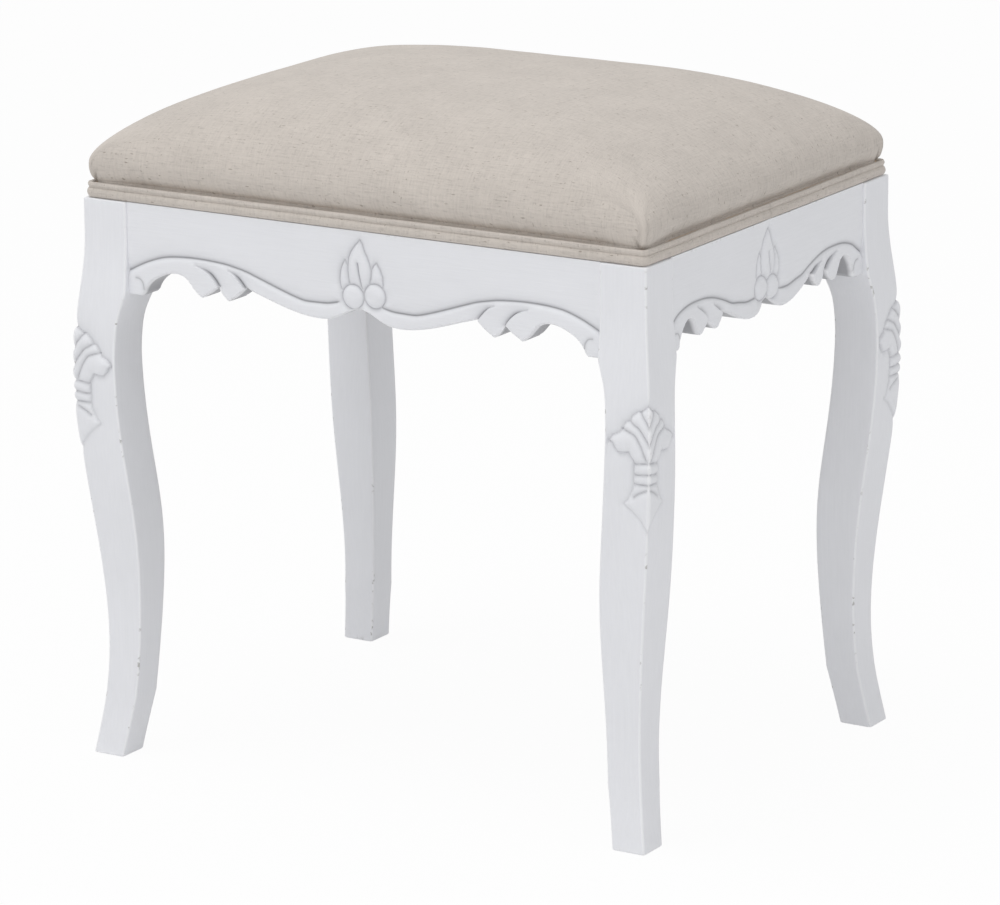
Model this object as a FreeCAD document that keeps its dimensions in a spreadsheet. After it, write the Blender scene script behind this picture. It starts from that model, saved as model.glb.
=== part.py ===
import FreeCAD, Part
import Sketcher
import math
import os
import re

Vector = FreeCAD.Vector
Rotation = FreeCAD.Rotation
Placement = FreeCAD.Placement

UP = Vector(0, 0, 1)

doc = FreeCAD.newDocument("dressing_stool")

# Driving dimensions in millimetres
SIZES = [
    ("frame_length", 447.2, "over the posts, along X"),
    ("frame_width", 338.2, "over the posts, along Y"),
    ("frame_height", 400.0, "floor to the top of posts and aprons"),
    ("post_side", 35.0, "side of the square post"),
    ("shoulder_drop", 25.0, "frame top to where the outer side starts to swell"),
    ("brow_drop", 80.0, "frame top to the upper part of the knee"),
    ("brow_swell", 4.5, "swell of the outer side there"),
    ("knee_drop", 137.0, "frame top to the fullest part of the knee"),
    ("knee_swell", 6.4, "swell of the outer side at the knee"),
    ("throat_drop", 83.0, "frame top to the curve under the apron's end block"),
    ("throat_cut", 5.8, "inner side cut away there"),
    ("hock_drop", 118.0, "frame top to the back of the knee"),
    ("hock_cut", 8.6, "inner side cut away behind the knee"),
    ("calf_height", 148.0, "floor to where the inner side is back in line with the post"),
    ("ankle_height", 98.0, "floor to the slimmest part of the outer side"),
    ("ankle_draw", 6.6, "outer side drawn in at the ankle"),
    ("foot_side", 25.0, "side of the square foot"),
    ("foot_flare", 3.0, "foot standing out past the post"),
    ("foot_rise", 45.0, "floor to the middle of the foot's curve"),
    ("foot_draw", 4.6, "outer side drawn in there"),
    ("heel_cut", 5.7, "inner side cut away there"),
    ("lean_along_x", -2.2, "foot leaning outwards along X"),
    ("lean_along_y", 2.1, "foot leaning outwards along Y"),
    ("apron_thick", 20.0, "thickness of an apron"),
    ("apron_setback", 1.5, "post standing proud of the apron"),
    ("block_width", 12.6, "end block of the apron, along the apron"),
    ("block_drop", 65.0, "frame top to the underside of the end block"),
    ("block_round", 2.0, "rounding of the end block's lower corner"),
    ("arch_drop", 46.5, "frame top to the crown of the end arch"),
    ("leaf_drop", 60.7, "frame top to the tips of the leaves"),
    ("leaf_round", 2.2, "half width of a leaf's rounded tip"),
    ("leaf_bow", 0.6, "bow of a leaf's side"),
    ("cleft_drop", 51.4, "frame top to the cleft between the leaves"),
    ("bead_end_drop", 50.5, "frame top to where the bead meets the inner leaf"),
    ("bead_low_drop", 63.8, "frame top to the lowest part of the bead"),
    ("bead_rise_drop", 62.0, "frame top to the bead's turn towards the middle"),
    ("bead_sweep_drop", 59.0, "frame top to the bead's sweep up to the leaves"),
    ("notch_drop", 54.5, "frame top to the notch under the palmette"),
    ("front_arch", 26.0, "end block to the arch's crown, long aprons"),
    ("front_outer_leaf", 48.0, "end block to the outer leaf's tip, long aprons"),
    ("front_cleft", 61.8, "end block to the cleft, long aprons"),
    ("front_inner_leaf", 70.0, "end block to the inner leaf's tip, long aprons"),
    ("front_bead_end", 83.6, "end block to the end of the bead, long aprons"),
    ("side_arch", 12.8, "end block to the arch's crown, short aprons"),
    ("side_outer_leaf", 28.5, "end block to the outer leaf's tip, short aprons"),
    ("side_cleft", 38.8, "end block to the cleft, short aprons"),
    ("side_inner_leaf", 50.0, "end block to the inner leaf's tip, short aprons"),
    ("side_bead_end", 59.0, "end block to the end of the bead, short aprons"),
    ("dowel_side", 8.0, "diameter of a dowel"),
    ("dowel_length", 36.0, "length of a dowel"),
    ("dowel_room", 1.0, "glue room at each end of a dowel"),
    ("dowel_fit", 0.1, "glue room around a dowel"),
    ("dowel_upper_drop", 15.0, "frame top to the upper dowels"),
    ("dowel_lower_drop", 44.0, "frame top to the lower dowels"),
    ("corner_arm", 62.0, "arm of a corner block along an apron"),
    ("corner_height", 26.0, "height of a corner block"),
    ("corner_drop", 0.5, "corner block below the frame top"),
    ("screw_side", 4.0, "diameter of a screw's shank"),
    ("screw_head_side", 8.0, "diameter of a screw's head"),
    ("screw_head_depth", 2.5, "depth of a screw's head"),
    ("screw_tip", 4.0, "length of a screw's point"),
    ("screw_fit", 0.1, "room around a screw"),
    ("block_screw_along", 40.0, "apron's end of a corner block to its screw"),
    ("block_screw_wood", 10.0, "wood of the corner block under a screw's head"),
    ("block_screw_bite", 14.0, "screw's length in the apron"),
    ("seat_screw_inset", 22.0, "apron's inner face to a seat screw"),
    ("seat_screw_bite", 7.0, "screw's length in the seat board"),
    ("board_thick", 9.0, "seat board"),
    ("band_setback", 1.2, "post standing proud of the trim band"),
    ("band_depth", 3.0, "depth of the trim band"),
    ("band_roll", 7.5, "height of the band's lower roll"),
    ("band_height", 11.0, "height of the whole band"),
    ("band_ridge_depth", 2.2, "depth of the band's upper ridge"),
    ("band_groove_depth", 0.9, "depth left between roll and ridge"),
    ("cover_thick", 1.0, "linen with its lining"),
    ("cover_corner", 4.5, "corner radius of the pad at its foot"),
    ("hem_width", 32.0, "linen turned under the board"),
    ("pad_overhang", 1.0, "pad's side standing out past the cloth on the board's edge"),
    ("pad_swell", 2.5, "pad's side standing out over its seam"),
    ("pad_side", 22.5, "board's underside to the fullest part of the side"),
    ("pad_crown", 58.5, "fullest part of the side to the top of the crown"),
    ("wadding_thick", 6.0, "wadding over the foam"),
    ("layer_fit", 0.3, "room between the soft layers"),
    ("foam_corner", 2.0, "least corner radius of a soft layer"),
    ("dust_thick", 0.6, "dust cover"),
    ("dust_fit", 1.0, "room between dust cover and aprons"),
    ("staple_crown", 10.0, "width of a staple"),
    ("staple_wire", 0.9, "thickness of a staple's wire"),
    ("staple_leg", 6.0, "length of a staple's legs"),
    ("staple_inset", 7.0, "edge of the dust cover to the staples"),
]

sheet = doc.addObject("Spreadsheet::Sheet", "Sizes")
for row, (alias, number, note) in enumerate(SIZES, start=1):
    sheet.set("A%d" % row, note)
    sheet.set("B%d" % row, str(number))
    sheet.setAlias("B%d" % row, alias)
doc.recompute()


def size(alias):
    """Number in the sheet's cell of that name."""
    return float(sheet.get(alias))


def formula(text):
    """Expression text in which every word is a cell of the sheet."""
    return re.sub(r"[a-z_]+", lambda word: "Sizes." + word.group(), text)


def bind(item, **formulas):
    """Ties properties to the sheet."""
    for name, text in formulas.items():
        item.setExpression(name, formula(text))
    return item


def put(item, place, rotation=Rotation()):
    """Turns an item, then ties its place to three formulas."""
    item.Placement = Placement(Vector(), rotation)
    for axis, text in zip("xyz", place):
        item.setExpression("Placement.Base." + axis, formula(text))
    return item


def cylinder(name, radius, length, start, direction):
    """Round bar from start along a direction."""
    bar = doc.addObject("Part::Cylinder", name)
    bind(bar, Radius=radius, Height=length)
    return put(bar, start, Rotation(UP, direction))


def group(name, items):
    """Separate solids kept together."""
    compound = doc.addObject("Part::Compound", name)
    compound.Links = items
    return compound


def cut(name, base, tools):
    """Base without the tools, which don't meet each other."""
    result = doc.addObject("Part::Cut", name)
    result.Base = base
    result.Tool = tools[0] if len(tools) == 1 else group(name + "_tools", tools)
    return result


def feature(name, shape):
    """Object that holds a finished shape."""
    item = doc.addObject("Part::Feature", name)
    item.Shape = shape
    return item


parts = []


def part(item, label):
    """Names a sub-part and puts it on the list that is written."""
    item.Label = label
    parts.append(item)
    return item


# Corners of the frame: name, sign along X, sign along Y, turn of the corner's own axes
CORNERS = [
    ("front_left", -1, -1, 0),
    ("front_right", 1, -1, 90),
    ("back_right", 1, 1, 180),
    ("back_left", -1, 1, 270),
]


def corner_place(sign_x, sign_y, along_x, along_y, height):
    """Place measured inwards from a post's outer faces."""
    return (
        "%d * (frame_length / 2 - (%s))" % (sign_x, along_x),
        "%d * (frame_width / 2 - (%s))" % (sign_y, along_y),
        height,
    )


# Legs

def smooth_curve(points, start_direction):
    """Curve through points of the leg's outline, leaving the first one in a given direction."""
    curve = Part.BSplineCurve()
    curve.interpolate(Points=points, InitialTangent=start_direction, FinalTangent=points[-1] - points[-2])
    return curve


def midway(first, second):
    return (first + second) / 2


def leg_outline(lean):
    """Side of a cabriole leg: X runs inwards from the post's outer face, Z up from the floor."""
    top = size("frame_height")
    inner = size("post_side")
    straight_from = top - size("block_drop")

    def at(depth, height):
        drift = lean * max(0, 1 - height / straight_from)
        return Vector(depth - drift, 0, height)

    head = at(0, top)
    shoulder = at(0, top - size("shoulder_drop"))
    brow = at(-size("brow_swell"), top - size("brow_drop"))
    knee = at(-size("knee_swell"), top - size("knee_drop"))
    ankle = at(size("ankle_draw"), size("ankle_height"))
    instep = at(size("foot_draw"), size("foot_rise"))
    toe = at(-size("foot_flare"), 0)
    heel = at(size("foot_side") - size("foot_flare"), 0)
    tendon = at(inner - size("heel_cut"), size("foot_rise"))
    calf = at(inner, size("calf_height"))
    hock = at(inner - size("hock_cut"), top - size("hock_drop"))
    throat = at(inner - size("throat_cut"), top - size("throat_drop"))
    ear = at(inner, straight_from)
    inner_head = at(inner, top)
    outer_side = smooth_curve([shoulder, brow, knee, midway(knee, ankle), ankle, instep, toe], -UP)
    inner_side = smooth_curve([ear, throat, hock, midway(hock, calf), calf, tendon, heel], throat - ear)
    edges = [
        Part.LineSegment(head, shoulder),
        outer_side,
        Part.LineSegment(toe, heel),
        inner_side,
        Part.LineSegment(ear, inner_head),
        Part.LineSegment(inner_head, head),
    ]
    return Part.Face(Part.Wire(Part.__sortEdges__([edge.toShape() for edge in edges])))


def leg_shape(first_lean, second_lean):
    """The outline sawn through a square blank from two sides."""
    reach = size("post_side") + size("knee_swell") + size("foot_flare")
    blank_length = 2 * reach
    sawn = []
    for lean in (first_lean, second_lean):
        outline = leg_outline(lean)
        outline.translate(Vector(0, -reach, 0))
        sawn.append(outline.extrude(Vector(0, blank_length, 0)))
    return sawn[0].common(sawn[1].mirror(Vector(), Vector(1, -1, 0)))


# Aprons

APRON_MIDDLE = "apron_setback + apron_thick / 2"
APRON_INNER = "apron_setback + apron_thick"

# Share of the bead's half length: its sweep up to the leaves, its lowest part, its turn to the notch
BEAD_SWEEP, BEAD_LOW, BEAD_TURN = 0.68, 0.40, 0.215
# Shares of width and height on the way from the outer leaf's tip up to the arch's crown
ARCH_RISE = ((0.29, 0.45), (0.55, 0.83), (1.0, 1.0))
# Shares of width and height on the way from the arch's crown down to the end block
ARCH_FALL = ((0.42, 0.15), (0.77, 0.43))


def bowed(first, second, bow):
    """Shallow arc between two points, bowed to the right of the way."""
    way = second - first
    side = Vector(way.y, -way.x, 0).normalize()
    return Part.Arc(first, midway(first, second) + side * bow, second)


def apron_half(half, names, sign):
    """Outline of one half of an apron, from the end of the bead to the middle of the top."""
    top = size("frame_height")

    def at(along, drop):
        return Vector(sign * along, top - drop, 0)

    block = half - size("block_width")
    arch, outer_leaf, cleft, inner_leaf, bead_end = [block - size(name) for name in names]
    tip_drop, arch_drop, block_drop = size("leaf_drop"), size("arch_drop"), size("block_drop")
    tip_half, tip_rise = size("leaf_round"), size("leaf_round") / 2
    bow = sign * size("leaf_bow")

    def leaf(start, tip):
        """Side and rounded tip of a leaf, and the point where the tip ends."""
        before = at(tip - tip_half, tip_drop - tip_rise)
        after = at(tip + tip_half, tip_drop - tip_rise)
        return [bowed(start, before, bow), Part.Arc(before, at(tip, tip_drop), after)], after

    bead_point = at(bead_end, size("bead_end_drop"))
    cleft_point = at(cleft, size("cleft_drop"))
    edges, inner_after = leaf(bead_point, inner_leaf)
    edges.append(bowed(inner_after, cleft_point, bow))
    outer_edges, outer_after = leaf(cleft_point, outer_leaf)
    edges += outer_edges
    tip_end = outer_leaf + tip_half
    rise = [
        at(tip_end + (arch - tip_end) * wide, tip_drop - (tip_drop - arch_drop) * high)
        for wide, high in ARCH_RISE
    ]
    fall = [
        at(arch + (block - arch) * wide, arch_drop + (block_drop - arch_drop) * high)
        for wide, high in ARCH_FALL
    ]
    block_side = at(block, block_drop - size("block_round"))
    block_foot = at(block + size("block_round"), block_drop)
    arch_curve = Part.BSplineCurve()
    arch_curve.interpolate([outer_after] + rise + fall + [block_side])
    edges += [
        arch_curve,
        Part.LineSegment(block_side, block_foot),
        Part.LineSegment(block_foot, at(half, block_drop)),
        Part.LineSegment(at(half, block_drop), at(half, 0)),
        Part.LineSegment(at(half, 0), at(0, 0)),
    ]
    return edges, bead_end


def bead_curve(bead_end):
    """Lower edge between the two pairs of leaves, with the notch in the middle."""
    top = size("frame_height")
    stations = [
        (1.0, size("bead_end_drop")),
        (BEAD_SWEEP, size("bead_sweep_drop")),
        (BEAD_LOW, size("bead_low_drop")),
        (BEAD_TURN, size("bead_rise_drop")),
    ]
    left = [Vector(-share * bead_end, top - drop, 0) for share, drop in stations]
    right = [Vector(-point.x, point.y, 0) for point in reversed(left)]
    curve = Part.BSplineCurve()
    curve.interpolate(left + [Vector(0, top - size("notch_drop"), 0)] + right)
    return curve


def origin_plane(body, role):
    return [plane for plane in body.Origin.OriginFeatures if plane.Role == role][0]


def sketch_on(body, name, role):
    """Empty sketch on one of a body's own planes."""
    sketch = body.newObject("Sketcher::SketchObject", name)
    sketch.AttachmentSupport = [(origin_plane(body, role), "")]
    sketch.MapMode = "FlatFace"
    return sketch


def apron_body(name, half, names):
    """Plain apron in its own frame: outer face on the XZ plane, thickness along Y."""
    body = doc.addObject("PartDesign::Body", name + "_blank")
    sketch = sketch_on(body, name + "_outline", "XZ_Plane")
    for sign in (-1, 1):
        edges, bead_end = apron_half(half, names, sign)
        for edge in edges:
            sketch.addGeometry(edge)
    sketch.addGeometry(bead_curve(bead_end))
    pad = body.newObject("PartDesign::Pad", name + "_pad")
    pad.Profile = sketch
    pad.Reversed = True
    bind(pad, Length="apron_thick")
    return body


FRONT_NAMES = ("front_arch", "front_outer_leaf", "front_cleft", "front_inner_leaf", "front_bead_end")
SIDE_NAMES = ("side_arch", "side_outer_leaf", "side_cleft", "side_inner_leaf", "side_bead_end")

# Aprons: name, sign of the side, turn about Z, whether it runs along X
APRONS = [
    ("front", -1, 0, True),
    ("back", 1, 180, True),
    ("left", -1, 270, False),
    ("right", 1, 90, False),
]


def apron_blank(name, sign, turn, along_x):
    """Undrilled apron in its place."""
    if along_x:
        half = size("frame_length") / 2 - size("post_side")
        place = ("0", "%d * (frame_width / 2 - apron_setback)" % sign, "0")
        names = FRONT_NAMES
    else:
        half = size("frame_width") / 2 - size("post_side")
        place = ("%d * (frame_length / 2 - apron_setback)" % sign, "0", "0")
        names = SIDE_NAMES
    return put(apron_body("apron_" + name, half, names), place, Rotation(UP, turn))


# Dowels: each joint of apron and post has two, along the apron

DOWEL_HEIGHTS = {"upper": "frame_height - dowel_upper_drop", "lower": "frame_height - dowel_lower_drop"}
DOWEL_HOLE = "dowel_side / 2 + dowel_fit"
DOWEL_HOLE_LENGTH = "(dowel_length + 2 * dowel_room)"


def dowel_bars(name, sign, along_x, radius, length):
    """Round bars along an apron's four dowels, each centred on its joint, with the signs of its corner."""
    direction = Vector(1, 0, 0) if along_x else Vector(0, 1, 0)
    found = []
    for end in (-1, 1):
        signs = (end, sign) if along_x else (sign, end)
        start = "post_side + %d * (%s) / 2" % (end, length)
        inset = (start, APRON_MIDDLE) if along_x else (APRON_MIDDLE, start)
        for level, height in DOWEL_HEIGHTS.items():
            place = corner_place(*signs, *inset, height)
            bar = cylinder("dowel_%s_%s" % (name, level), radius, length, place, direction)
            found.append((bar, signs))
    return found


# Screws

def screw(name, length, start, direction):
    """Screw with a flat head: start is the middle of the head's outer face."""

    def further(distance):
        return tuple("%s + %d * (%s)" % (text, round(way), distance) for way, text in zip(direction, start))

    head = cylinder(name + "_head", "screw_head_side / 2", "screw_head_depth", start, direction)
    shank_start = further("screw_head_depth")
    shank = cylinder(name + "_shank", "screw_side / 2", length + " - screw_tip", shank_start, direction)
    tip = doc.addObject("Part::Cone", name + "_tip")
    bind(tip, Radius1="screw_side / 2", Height="screw_tip")
    tip.Radius2 = 0
    put(tip, further("screw_head_depth + %s - screw_tip" % length), Rotation(UP, direction))
    whole = doc.addObject("Part::MultiFuse", name)
    whole.Shapes = [head, shank, tip]
    return whole


HEAD_HOLE = "screw_head_side / 2 + screw_fit"
SHANK_HOLE = "screw_side / 2 + screw_fit"
BLOCK_SCREW = "(block_screw_wood + block_screw_bite)"
BLOCK_SCREW_HEIGHT = "frame_height - corner_drop - corner_height / 2"
SEAT_SCREW = "(corner_height - screw_head_depth + corner_drop + cover_thick + seat_screw_bite)"
CORNER_FOOT = "frame_height - corner_drop - corner_height"
BOARD_FOOT = "frame_height + cover_thick"


def corner_block(name, sign_x, sign_y, turn):
    """Three-cornered block between two aprons, notched around the post, with its screws and their holes."""
    label = "corner_block_" + name
    wedge = doc.addObject("Part::Wedge", label + "_wedge")
    wedge.X2min = wedge.X2max = 0
    wedge.Xmin = wedge.Ymin = wedge.Zmin = wedge.Z2min = 0
    bind(wedge, Xmax="corner_arm", Ymax="corner_arm", Zmax="corner_height", Z2max="corner_height")
    spin = Rotation(UP, turn)
    put(wedge, corner_place(sign_x, sign_y, APRON_INNER, APRON_INNER, CORNER_FOOT), spin)
    post = doc.addObject("Part::Box", label + "_post")
    bind(post, Length="post_side", Width="post_side", Height="corner_height")
    put(post, corner_place(sign_x, sign_y, "0", "0", CORNER_FOOT), spin)
    tools = [post]
    pilots = []
    screws = []
    along = APRON_INNER + " + block_screw_along"
    under_head = APRON_INNER + " + block_screw_wood"
    head_top = under_head + " + screw_head_depth"
    for axis in ("x", "y"):
        direction = Vector(sign_x, 0, 0) if axis == "x" else Vector(0, sign_y, 0)

        def inset(depth):
            pair = (depth, along) if axis == "x" else (along, depth)
            return corner_place(sign_x, sign_y, *pair, BLOCK_SCREW_HEIGHT)

        screws.append(screw("screw_%s_%s" % (name, axis), BLOCK_SCREW, inset(head_top), direction))
        pocket_start = inset(under_head + " + corner_arm")
        pocket = cylinder(label + "_pocket_" + axis, HEAD_HOLE, "corner_arm", pocket_start, direction)
        pilot = cylinder(label + "_pilot_" + axis, SHANK_HOLE, BLOCK_SCREW, inset(under_head), direction)
        pilots.append((pilot, axis))
        tools += [pocket, pilot]
    seat_inset = APRON_INNER + " + seat_screw_inset"
    foot = corner_place(sign_x, sign_y, seat_inset, seat_inset, CORNER_FOOT)
    seat_screw = screw("seat_screw_" + name, SEAT_SCREW, foot, UP)
    seat_head = cylinder(label + "_seat_head", HEAD_HOLE, "screw_head_depth", foot, UP)
    seat_pilot = cylinder(label + "_seat_pilot", SHANK_HOLE, "screw_head_depth + " + SEAT_SCREW, foot, UP)
    sockets = doc.addObject("Part::MultiFuse", label + "_seat_hole")
    sockets.Shapes = [seat_head, seat_pilot]
    tools.append(sockets)
    block = cut(label, wedge, tools)
    return block, pilots, screws, seat_screw, seat_pilot


# Seat pad

def rounded_rectangle(half_x, half_y, radius, height):
    """Level wire of four lines and four quarter arcs."""
    corners = []
    for turn, (sign_x, sign_y) in enumerate([(1, 1), (-1, 1), (-1, -1), (1, -1)]):
        centre = Vector(sign_x * (half_x - radius), sign_y * (half_y - radius), height)
        angles = [math.radians(90 * turn + step) for step in (0, 45, 90)]
        corners.append([centre + Vector(math.cos(a), math.sin(a), 0) * radius for a in angles])
    edges = []
    for corner, following in zip(corners, corners[1:] + corners[:1]):
        edges.append(Part.Arc(*corner).toShape())
        edges.append(Part.makeLine(corner[-1], following[0]))
    return Part.Wire(edges)


def level_prism(half_x, half_y, radius, foot, height):
    return Part.Face(rounded_rectangle(half_x, half_y, radius, foot)).extrude(UP * height)


# Scale of the pad's level sections from its fullest part to the flat of the crown
CROWN_SCALES = (0.995, 0.98, 0.955, 0.925, 0.89, 0.84, 0.78, 0.70, 0.61, 0.50, 0.37, 0.20)
# Height over the pad's side: (1 - scale ** CROWN_FLATNESS) ** CROWN_RISE
CROWN_FLATNESS, CROWN_RISE = 4.0, 0.625
# Shares of the half width: growth of the corner radius over the crown, and its limit
CROWN_CORNER_SHARES = (2.7, 0.95)
# Share of the pad's swell that is still missing halfway up its side
SIDE_BOW = 0.25


def skirt_half(frame_size):
    """Half size of the pad at its foot, where the band lies around it."""
    return size(frame_size) / 2 - size("band_setback") - size("band_depth")


def pad_solid(inset, foot):
    """Domed pad, drawn in at its seam and over its crown, all its faces moved in by an inset."""
    half_x = skirt_half("frame_length") + size("pad_overhang") - inset
    half_y = skirt_half("frame_width") + size("pad_overhang") - inset
    corner = max(size("cover_corner") - inset, size("foam_corner"))
    fullest = size("frame_height") + size("pad_side")
    seam = size("pad_swell")
    bow = SIDE_BOW * seam
    growth, limit = CROWN_CORNER_SHARES
    wires = [
        rounded_rectangle(half_x - seam, half_y - seam, corner, foot),
        rounded_rectangle(half_x - bow, half_y - bow, corner, midway(foot, fullest)),
        rounded_rectangle(half_x, half_y, corner, fullest),
    ]
    for scale in CROWN_SCALES:
        height = fullest + (size("pad_crown") - inset) * (1 - scale ** CROWN_FLATNESS) ** CROWN_RISE
        radius = min(corner + growth * (1 - scale) * half_y, limit * scale * half_y)
        wires.append(rounded_rectangle(scale * half_x, scale * half_y, radius, height))
    return Part.makeLoft(wires, True, True)


def linen_cover_shape():
    """Linen over the pad, down the board's edge and turned under it."""
    thick = size("cover_thick")
    foot = size("frame_height")
    board_foot = foot + thick
    board_thick = size("board_thick")
    board_top = board_foot + board_thick
    seam = board_top + thick
    edge_x = skirt_half("frame_length")
    edge_y = skirt_half("frame_width")
    corner = size("cover_corner")
    hem = size("hem_width")
    skirt = level_prism(edge_x, edge_y, corner, foot, seam - foot)
    outside = skirt.fuse(pad_solid(0, seam))
    board_room = level_prism(edge_x - thick, edge_y - thick, corner - thick, board_foot, board_thick)
    inside = board_room.fuse(pad_solid(thick, board_top))
    # The opening passes the hem by one thickness above and below
    opening = level_prism(edge_x - hem, edge_y - hem, corner, foot - thick, 3 * thick)
    return outside.cut(inside).cut(opening).removeSplitter()


def wadding_shape(foot):
    outer_inset = size("cover_thick") + size("layer_fit")
    return pad_solid(outer_inset, foot).cut(pad_solid(outer_inset + size("wadding_thick"), foot))


def foam_shape(foot):
    return pad_solid(size("cover_thick") + size("wadding_thick") + 2 * size("layer_fit"), foot)


# Level sections over each roll of the band
ROLL_STEPS = 8


def trim_band_shape():
    """Double welt around the foot of the pad: a wide roll, a groove and a thin ridge above it."""
    foot = size("frame_height")
    roll_top = foot + size("band_roll")
    top = foot + size("band_height")
    inner_x = skirt_half("frame_length")
    inner_y = skirt_half("frame_width")
    corner = size("cover_corner")
    groove = size("band_groove_depth")
    levels = [(foot, groove)]
    rolls = ((foot, roll_top, size("band_depth")), (roll_top, top, size("band_ridge_depth")))
    for low, high, depth in rolls:
        for step in range(1, ROLL_STEPS + 1):
            turn = math.pi * step / ROLL_STEPS
            level = midway(low, high) - (high - low) / 2 * math.cos(turn)
            levels.append((level, groove + (depth - groove) * math.sin(turn)))
    wires = [rounded_rectangle(inner_x + out, inner_y + out, corner + out, level) for level, out in levels]
    # The opening passes the band by the groove's depth above and below
    opening = level_prism(inner_x, inner_y, corner, foot - groove, top - foot + 2 * groove)
    return Part.makeLoft(wires, True, True).cut(opening)


# Half side of a plate's outline before its constraints set it
ROUGH_HALF = 100.0


def plate(name, length, width, thick, height, corner_kind, corner_property, corner_size):
    """Rectangular plate about the middle of the seat, its four upright edges rounded or clipped."""
    body = doc.addObject("PartDesign::Body", name + "_body")
    sketch = sketch_on(body, name + "_outline", "XY_Plane")
    points = [Vector(x, y, 0) * ROUGH_HALF for x, y in ((-1, -1), (1, -1), (1, 1), (-1, 1))]
    for start, end in zip(points, points[1:] + points[:1]):
        sketch.addGeometry(Part.LineSegment(start, end))
    origin = (-1, 1)
    constraints = [("Coincident", side, 2, (side + 1) % 4, 1) for side in range(4)]
    constraints += [("Horizontal", 0), ("Horizontal", 2), ("Vertical", 1), ("Vertical", 3)]
    constraints.append(("Symmetric", 0, 1, 1, 2) + origin)
    for constraint in constraints:
        sketch.addConstraint(Sketcher.Constraint(*constraint))
    for side, kind, text in ((0, "DistanceX", length), (1, "DistanceY", width)):
        index = sketch.addConstraint(Sketcher.Constraint(kind, side, 1, side, 2, 2 * ROUGH_HALF))
        sketch.setExpression("Constraints[%d]" % index, formula(text))
    pad = body.newObject("PartDesign::Pad", name + "_pad")
    pad.Profile = sketch
    bind(pad, Length=thick)
    doc.recompute()
    upright = [
        "Edge%d" % (index + 1) for index, edge in enumerate(pad.Shape.Edges)
        if edge.BoundBox.ZLength > pad.Shape.BoundBox.ZLength / 2
    ]
    corner = body.newObject(corner_kind, name + "_corners")
    corner.Base = (pad, upright)
    corner.setExpression(corner_property, formula(corner_size))
    body.Tip = corner
    return put(body, ("0", "0", height))


# How many staples hold the dust cover along a long side and along a short side
STAPLE_COUNTS = (5, 4)
DUST_HALF_X = "(frame_length / 2 - (%s) - dust_fit)" % APRON_INNER
DUST_HALF_Y = "(frame_width / 2 - (%s) - dust_fit)" % APRON_INNER
DUST_CLIP = "(corner_arm + dust_fit)"


def staple(name, place, turn):
    """U of wire, its crown under the dust cover and its legs up into the board."""
    spin = Rotation(UP, turn)
    blank = doc.addObject("Part::Box", name + "_blank")
    bind(blank, Length="staple_crown", Width="staple_wire", Height="staple_leg")
    put(blank, place(0, "0"), spin)
    room = doc.addObject("Part::Box", name + "_room")
    bind(room, Length="staple_crown - 2 * staple_wire", Width="staple_wire", Height="staple_leg")
    put(room, place(1, "staple_wire"), spin)
    return cut(name, blank, [room])


def staples():
    """All the staples, evenly spaced between the corner blocks."""
    found = []
    foot = "frame_height - dust_thick - staple_wire"
    for count, along_x in zip(STAPLE_COUNTS, (True, False)):
        run = (DUST_HALF_X if along_x else DUST_HALF_Y) + " - " + DUST_CLIP
        across = (DUST_HALF_Y if along_x else DUST_HALF_X) + " - staple_inset"
        for side in (-1, 1):
            for number in range(count):
                share = (2.0 * number + 1) / count - 1

                def place(shift, lift):
                    along = "%f * (%s) - staple_crown / 2 + %d * staple_wire" % (share, run, shift)
                    level = foot + " + " + lift
                    beside = "%d * (%s)" % (side, across)
                    return (along, beside, level) if along_x else (beside, along, level)

                name = "staple_%d_%d_%d" % (along_x, side, number)
                found.append(staple(name, place, 0 if along_x else 90))
    return found


# Assembly

apron_bodies = {name: apron_blank(name, sign, turn, along_x) for name, sign, turn, along_x in APRONS}
apron_holes = {name: [] for name in apron_bodies}
post_holes = {}
for name, sign, turn, along_x in APRONS:
    for hole, signs in dowel_bars(name, sign, along_x, DOWEL_HOLE, DOWEL_HOLE_LENGTH):
        apron_holes[name].append(hole)
        post_holes.setdefault(signs, []).append(hole)
    dowels = [bar for bar, signs in dowel_bars(name, sign, along_x, "dowel_side / 2", "dowel_length")]
    part(group("dowel_group_" + name, dowels), "dowels_" + name)

block_screws = []
seat_screws = []
seat_pilots = []
for name, sign_x, sign_y, turn in CORNERS:
    leans = (size("lean_along_x"), size("lean_along_y"))
    blank = feature("leg_blank_" + name, leg_shape(*(leans if turn % 180 == 0 else leans[::-1])))
    put(blank, corner_place(sign_x, sign_y, "0", "0", "0"), Rotation(UP, turn))
    part(cut("drilled_leg_" + name, blank, post_holes[(sign_x, sign_y)]), "leg_" + name)
    block, pilots, screws, seat_screw, seat_pilot = corner_block(name, sign_x, sign_y, turn)
    part(block, "corner_block_" + name)
    front_or_back, left_or_right = name.split("_")
    for pilot, axis in pilots:
        apron_holes[left_or_right if axis == "x" else front_or_back].append(pilot)
    block_screws += screws
    seat_screws.append(seat_screw)
    seat_pilots.append(seat_pilot)

for name, blank in apron_bodies.items():
    part(cut("drilled_apron_" + name, blank, apron_holes[name]), "apron_" + name)

part(group("screw_group_blocks", block_screws), "corner_block_screws")
part(group("screw_group_seat", seat_screws), "seat_screws")

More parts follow.
